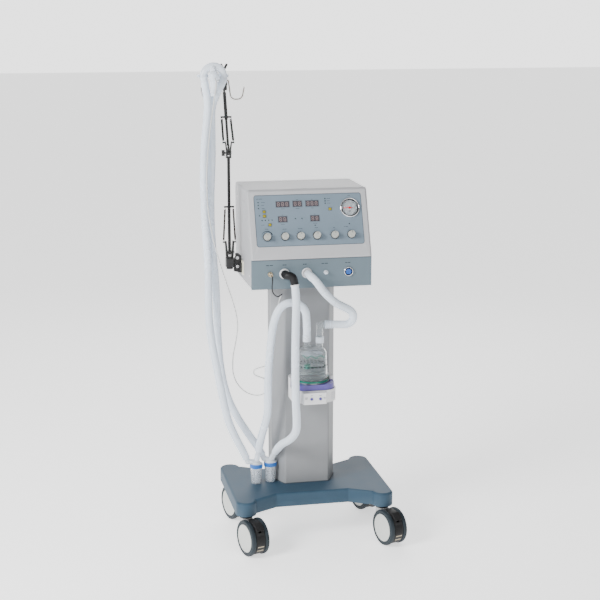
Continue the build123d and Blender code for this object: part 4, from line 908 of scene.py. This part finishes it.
def make_arm():
    for node in ("arm_turret", "lower_arm", "upper_arm", "arm_head", "head_screw", "elbow_screw"):
        finish_node(node, BLACK_PAINT)
    paint_node("arm_bracket", [CREAM, BLACK_PAINT], lambda c: 0 if c.x > -0.2041 else 1)
    lean = (HEAD_X - ARM_X) / (HEAD_Z - ELBOW_Z)
    cross_x = ARM_X + lean * (UPPER_CROSS_Z - ELBOW_Z)
    for side, label in ((-1, "a"), (1, "b")):
        foot, top = [at(ARM_X + side * off, ARM_Y, z) for off, z in LOWER_SPRING]
        low = coil(f"lower_spring_{label}", foot, top, 0.0032, 0.0007, 70, SPRING_DARK)
        foot, top = [at(x + side * off, ARM_Y, z) for x, (off, z) in zip((ARM_X, cross_x), UPPER_SPRING)]
        high = coil(f"upper_spring_{label}", foot, top, 0.0038, 0.0008, 44, SPRING_BLACK)
        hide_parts("lower_springs")
        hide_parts("upper_springs")
    for name, z, body in (("shoulder_cap", SHOULDER_Z, "turret"), ("elbow_cap", ELBOW_Z, "lower_arm")):
        lathe(name, at(ARM_X + (0.013 if body == "turret" else 0.0085), ARM_Y, z), (1, 0, 0),
              [(-0.001, 0.0052), (0.0026, 0.0050), (0.0034, 0.0040), (0.0034, 0.0002)], STEEL, body, 6,
              0.0003)
    finish_node("double_hook", HOOK_METAL)
    finish_node("hose_holder", CUFF)
    finish_node("y_piece", CUFF)
    for k, z in enumerate((0.912, 0.941)):
        lathe(f"bracket_eyelet_{k + 1}", at(-0.217, 0.052, z), (0, -1, 0),
              ring_profile(0.0032, 0.0052, -0.0005, 0.0010), STEEL, "trolley", 32, 0.0003)
    for z in (1.486, 1.4955):
        lathe(f"patient_port_ring_{round(z * 1000)}", at(-0.297, -0.008, z), (0, 0, 1),
              ring_profile(0.0100, 0.0117, 0.0, 0.0022), CUFF, "arm_head", 48, 0.0005)


# ---------------------------------------------------------------- humidifier
def make_humidifier():
    centre = at(HEATER_X, HEATER_Y, 0)
    up = Vector((0, 0, 1))

    paint_node("heater_base", [WHITE_PLASTIC, STEEL], lambda c: 1 if c.y > -0.0435 else 0)
    finish_node("guard_ring", PURPLE)
    paint_node("chamber_base", [HEATER_PLATE, GREEN], lambda c: 0 if c.z < 0.5541 else 1)
    finish_node("chamber_dome", CLEAR)
    lathe("heater_deck", centre, up, ring_profile(0.0500, 0.0549, 0.5462, 0.5488), HEATER_PLATE, "trolley",
          80)
    lathe("chamber_water", centre, up,
          [(0.5600, 0.0001), (0.5600, 0.0478), (0.6040, 0.0465), (0.6046, 0.0001)], WATER, "trolley", 64)
    low, high, chevron = [], [], []
    for k in range(24):
        start = k * math.tau / 24
        low.append((start, start + 0.17, 0.6060, 0.6060, 0.0038))
        high.append((start, start + 0.11, 0.6255, 0.6255, 0.0024))
    for k in range(6):
        start = math.radians(-140 + 18 * k)
        rise = 0.0050 if k % 2 else -0.0050
        chevron.append((start, start + 0.29, 0.6420 - rise, 0.6420 + rise, 0.0026))
    wrapped("level_dashes_low", centre, 0.0501, low, PRINT_DARK, "trolley")
    wrapped("level_dashes_high", centre, 0.0495, high, PRINT_DARK, "trolley")
    wrapped("chevron_mark", centre, 0.0491, chevron, GREEN, "trolley")
    lathe("chamber_float", centre + Vector((-0.018, -0.012, 0)), up,
          [(0.5960, 0.0002), (0.5960, 0.0105), (0.6080, 0.0105), (0.6100, 0.0085), (0.6100, 0.0002)], GREEN,
          "trolley", 40, 0.001)
    lathe("chamber_baffle", centre, up,
          [(0.6420, 0.0040), (0.6420, 0.0370), (0.6436, 0.0370), (0.6436, 0.0040)], CUFF, "trolley", 64)
    for number, (x, low, high) in enumerate(((-0.015, 0.6840, 0.7058), (0.028, 0.6780, 0.6990)), start=1):
        lathe(f"chamber_port_cuff_{number}", at(x, HEATER_Y, 0), up,
              [(low, 0.0112), (low, 0.0134), (low + 0.003, 0.0140), (high - 0.002, 0.0134), (high, 0.0112),
               (low, 0.0112)], CUFF, "trolley", 56, 0.0006)
    for number, x in enumerate((0.0490, 0.0570, 0.0660), start=1):
        lathe(f"inlet_cuff_ring_{number}", at(x, HEATER_Y, 0.738), (1, 0, 0),
              ring_profile(0.0110, 0.0146, -0.0016, 0.0016), CUFF, "trolley", 56, 0.0006)
    for side, x in (("left", -0.016), ("right", 0.013)):
        key = lathe(f"heater_key_cap_{side}", at(x, -0.186, HEATER_KEY_Z), (0, -1, 0),
                    [(0.0, 0.0044), (0.0062, 0.0044), (0.0078, 0.0034), (0.0080, 0.0001)], PURPLE,
                    f"heater_key_{side}", 40, 0.0006)
        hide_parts(f"heater_key_{side}")
        lathe(f"heater_key_rim_{side}", at(x, -0.192, HEATER_KEY_Z), (0, -1, 0),
              ring_profile(0.0049, 0.0062, -0.0004, 0.0009), PANEL_GREY, "trolley", 40, 0.0003)
    face = facing(at(-0.004, -0.1921, 0.5115), (1, 0, 0), (0, -1, 0))
    printed("heater_panel_marks", face,
            [(-0.030, 0.004, 0.010, 0.0016, 0), (-0.030, 0.000, 0.007, 0.0016, 0),
             (0.031, 0.003, 0.008, 0.0016, 0), (0.031, -0.002, 0.006, 0.0016, 0),
             (-0.012, 0.0105, 0.008, 0.0012, 0), (0.017, 0.0105, 0.008, 0.0012, 0)], PRINT_MID, "trolley")
    angle = math.radians(-47)
    middle = at(0.031, -0.132, 0)
    normal = Vector((math.cos(angle), math.sin(angle), 0))
    for k in range(4):
        spot = middle + normal * 0.0450 + Vector((0, 0, 0.503 + 0.006 * k))
        slab(f"heater_vent_{k + 1}", facing(spot, (-normal.y, normal.x, 0), normal),
             (0.020, 0.0017, 0.0007), 0.0002, PANEL_GREY, "trolley")


# ---------------------------------------------------------------- water traps
def make_traps():
    up = Vector((0, 0, 1))
    for number, (x, y) in enumerate(TRAPS, start=1):
        foot = at(x, y, 0.1712)
        cup = lathe(f"trap_cup_{number}", foot, up,
                    [(0.0020, 0.0001), (0.0020, 0.0150), (0.0560, 0.0178), (0.0562, 0.0198),
                     (0.0440, 0.0192), (0.0050, 0.0177), (0.0004, 0.0160), (0.0004, 0.0001)], CUP_CLEAR,
                    "trolley", 120, 0.0012, flutes=20, flute=0.035)
        if number == 1:
            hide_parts("trap_cups")
        lathe(f"trap_ring_ribs_{number}", at(x, y, 0), up,
              [(0.2288, 0.0205), (0.2288, 0.0220), (0.2410, 0.0220), (0.2410, 0.0205), (0.2288, 0.0205)],
              TRAP_BLUE, "trolley", 120, 0.0005, flutes=30, flute=0.028)
        lathe(f"trap_valve_{number}", foot, up,
              [(0.0030, 0.0001), (0.0030, 0.0090), (0.0060, 0.0080), (0.0300, 0.0040), (0.0500, 0.0038),
               (0.0500, 0.0001)], CUFF, "trolley", 32, 0.001)
    paint_node("trap_lids", [TRAP_BLUE, CUFF], lambda c: 0 if c.z < 0.2419 and c.z > 0.2281 else 1)


def finish_frame_nodes():
    for node, mat in (("base_cover", BASE_BLUE), ("steel_frame", STEEL_DARK), ("column_shell", COLUMN_GREY),
                      ("console_shell", CONSOLE_GREY), ("rear_cover", REAR_GREY),
                      ("fascia_panel", FASCIA_BLUE), ("port_panel", PORT_BLUE)):
        finish_node(node, mat)


# ---------------------------------------------------------------- stage
def area_light(name, place, target, size, power, colour=(1, 1, 1)):
    data = bpy.data.lights.new(name, "AREA")
    data.energy = power
    data.size = size
    data.color = colour
    light = bpy.data.objects.new(name, data)
    bpy.context.scene.collection.objects.link(light)
    light.location = place
    light.rotation_euler = (Vector(target) - Vector(place)).to_track_quat("-Z", "Y").to_euler()


def make_stage():
    floor = mesh_piece("floor",
                       [(-30, -30, -0.0002), (30, -30, -0.0002), (30, 30, -0.0002), (-30, 30, -0.0002)],
                       [(0, 1, 2, 3)], FLOOR_PALE, None)
    world = bpy.data.worlds.new("studio")
    bpy.context.scene.world = world
    world.use_nodes = True
    nodes, links = world.node_tree.nodes, world.node_tree.links
    direction = nodes.new("ShaderNodeTexCoord")
    parts = nodes.new("ShaderNodeSeparateXYZ")
    links.new(direction.outputs["Generated"], parts.inputs["Vector"])
    ramp = nodes.new("ShaderNodeMapRange")
    ramp.interpolation_type = "SMOOTHSTEP"
    set_inputs(ramp, {"From Min": 0.45, "From Max": 0.86, "To Min": 0.42, "To Max": 2.6})
    links.new(parts.outputs["Y"], ramp.inputs["Value"])
    links.new(ramp.outputs["Result"], nodes["Background"].inputs["Strength"])
    nodes["Background"].inputs["Color"].default_value = (1.0, 1.0, 1.0, 1)
    middle = at(0, 0, 0.85)
    area_light("key", at(-3.2, -1.9, 2.6), middle, 1.6, 250)
    area_light("fill", at(0.2, -3.6, 1.6), middle, 1.6, 26)
    area_light("back", at(0.6, 2.6, 2.4), middle, 2.0, 30)


# Camera fitted to the photograph, its angles in degrees
CAMERA_PLACE, CAMERA_LENS = (-0.9342, -4.4026, 1.7868), 82.68
CAMERA_DIP, CAMERA_TURN = 12.38, -11.79


def make_camera():
    data = bpy.data.cameras.new("camera")
    data.lens = CAMERA_LENS
    data.sensor_width = 36
    data.clip_end = 100
    camera = bpy.data.objects.new("camera", data)
    bpy.context.scene.collection.objects.link(camera)
    camera.location = at(*CAMERA_PLACE)
    camera.rotation_euler = (math.radians(90 - CAMERA_DIP), 0, math.radians(CAMERA_TURN))
    bpy.context.scene.camera = camera


make_stage()
make_camera()
make_hoses()
finish_frame_nodes()
make_wheels()
make_forks()
make_housing_ribs()
make_pedals()
make_column_details()
make_console_details()
make_displays()
make_lamps()
make_panel_print()
make_gauge()
make_knobs()
make_keys()
make_ports()
make_arm()
make_humidifier()
make_traps()
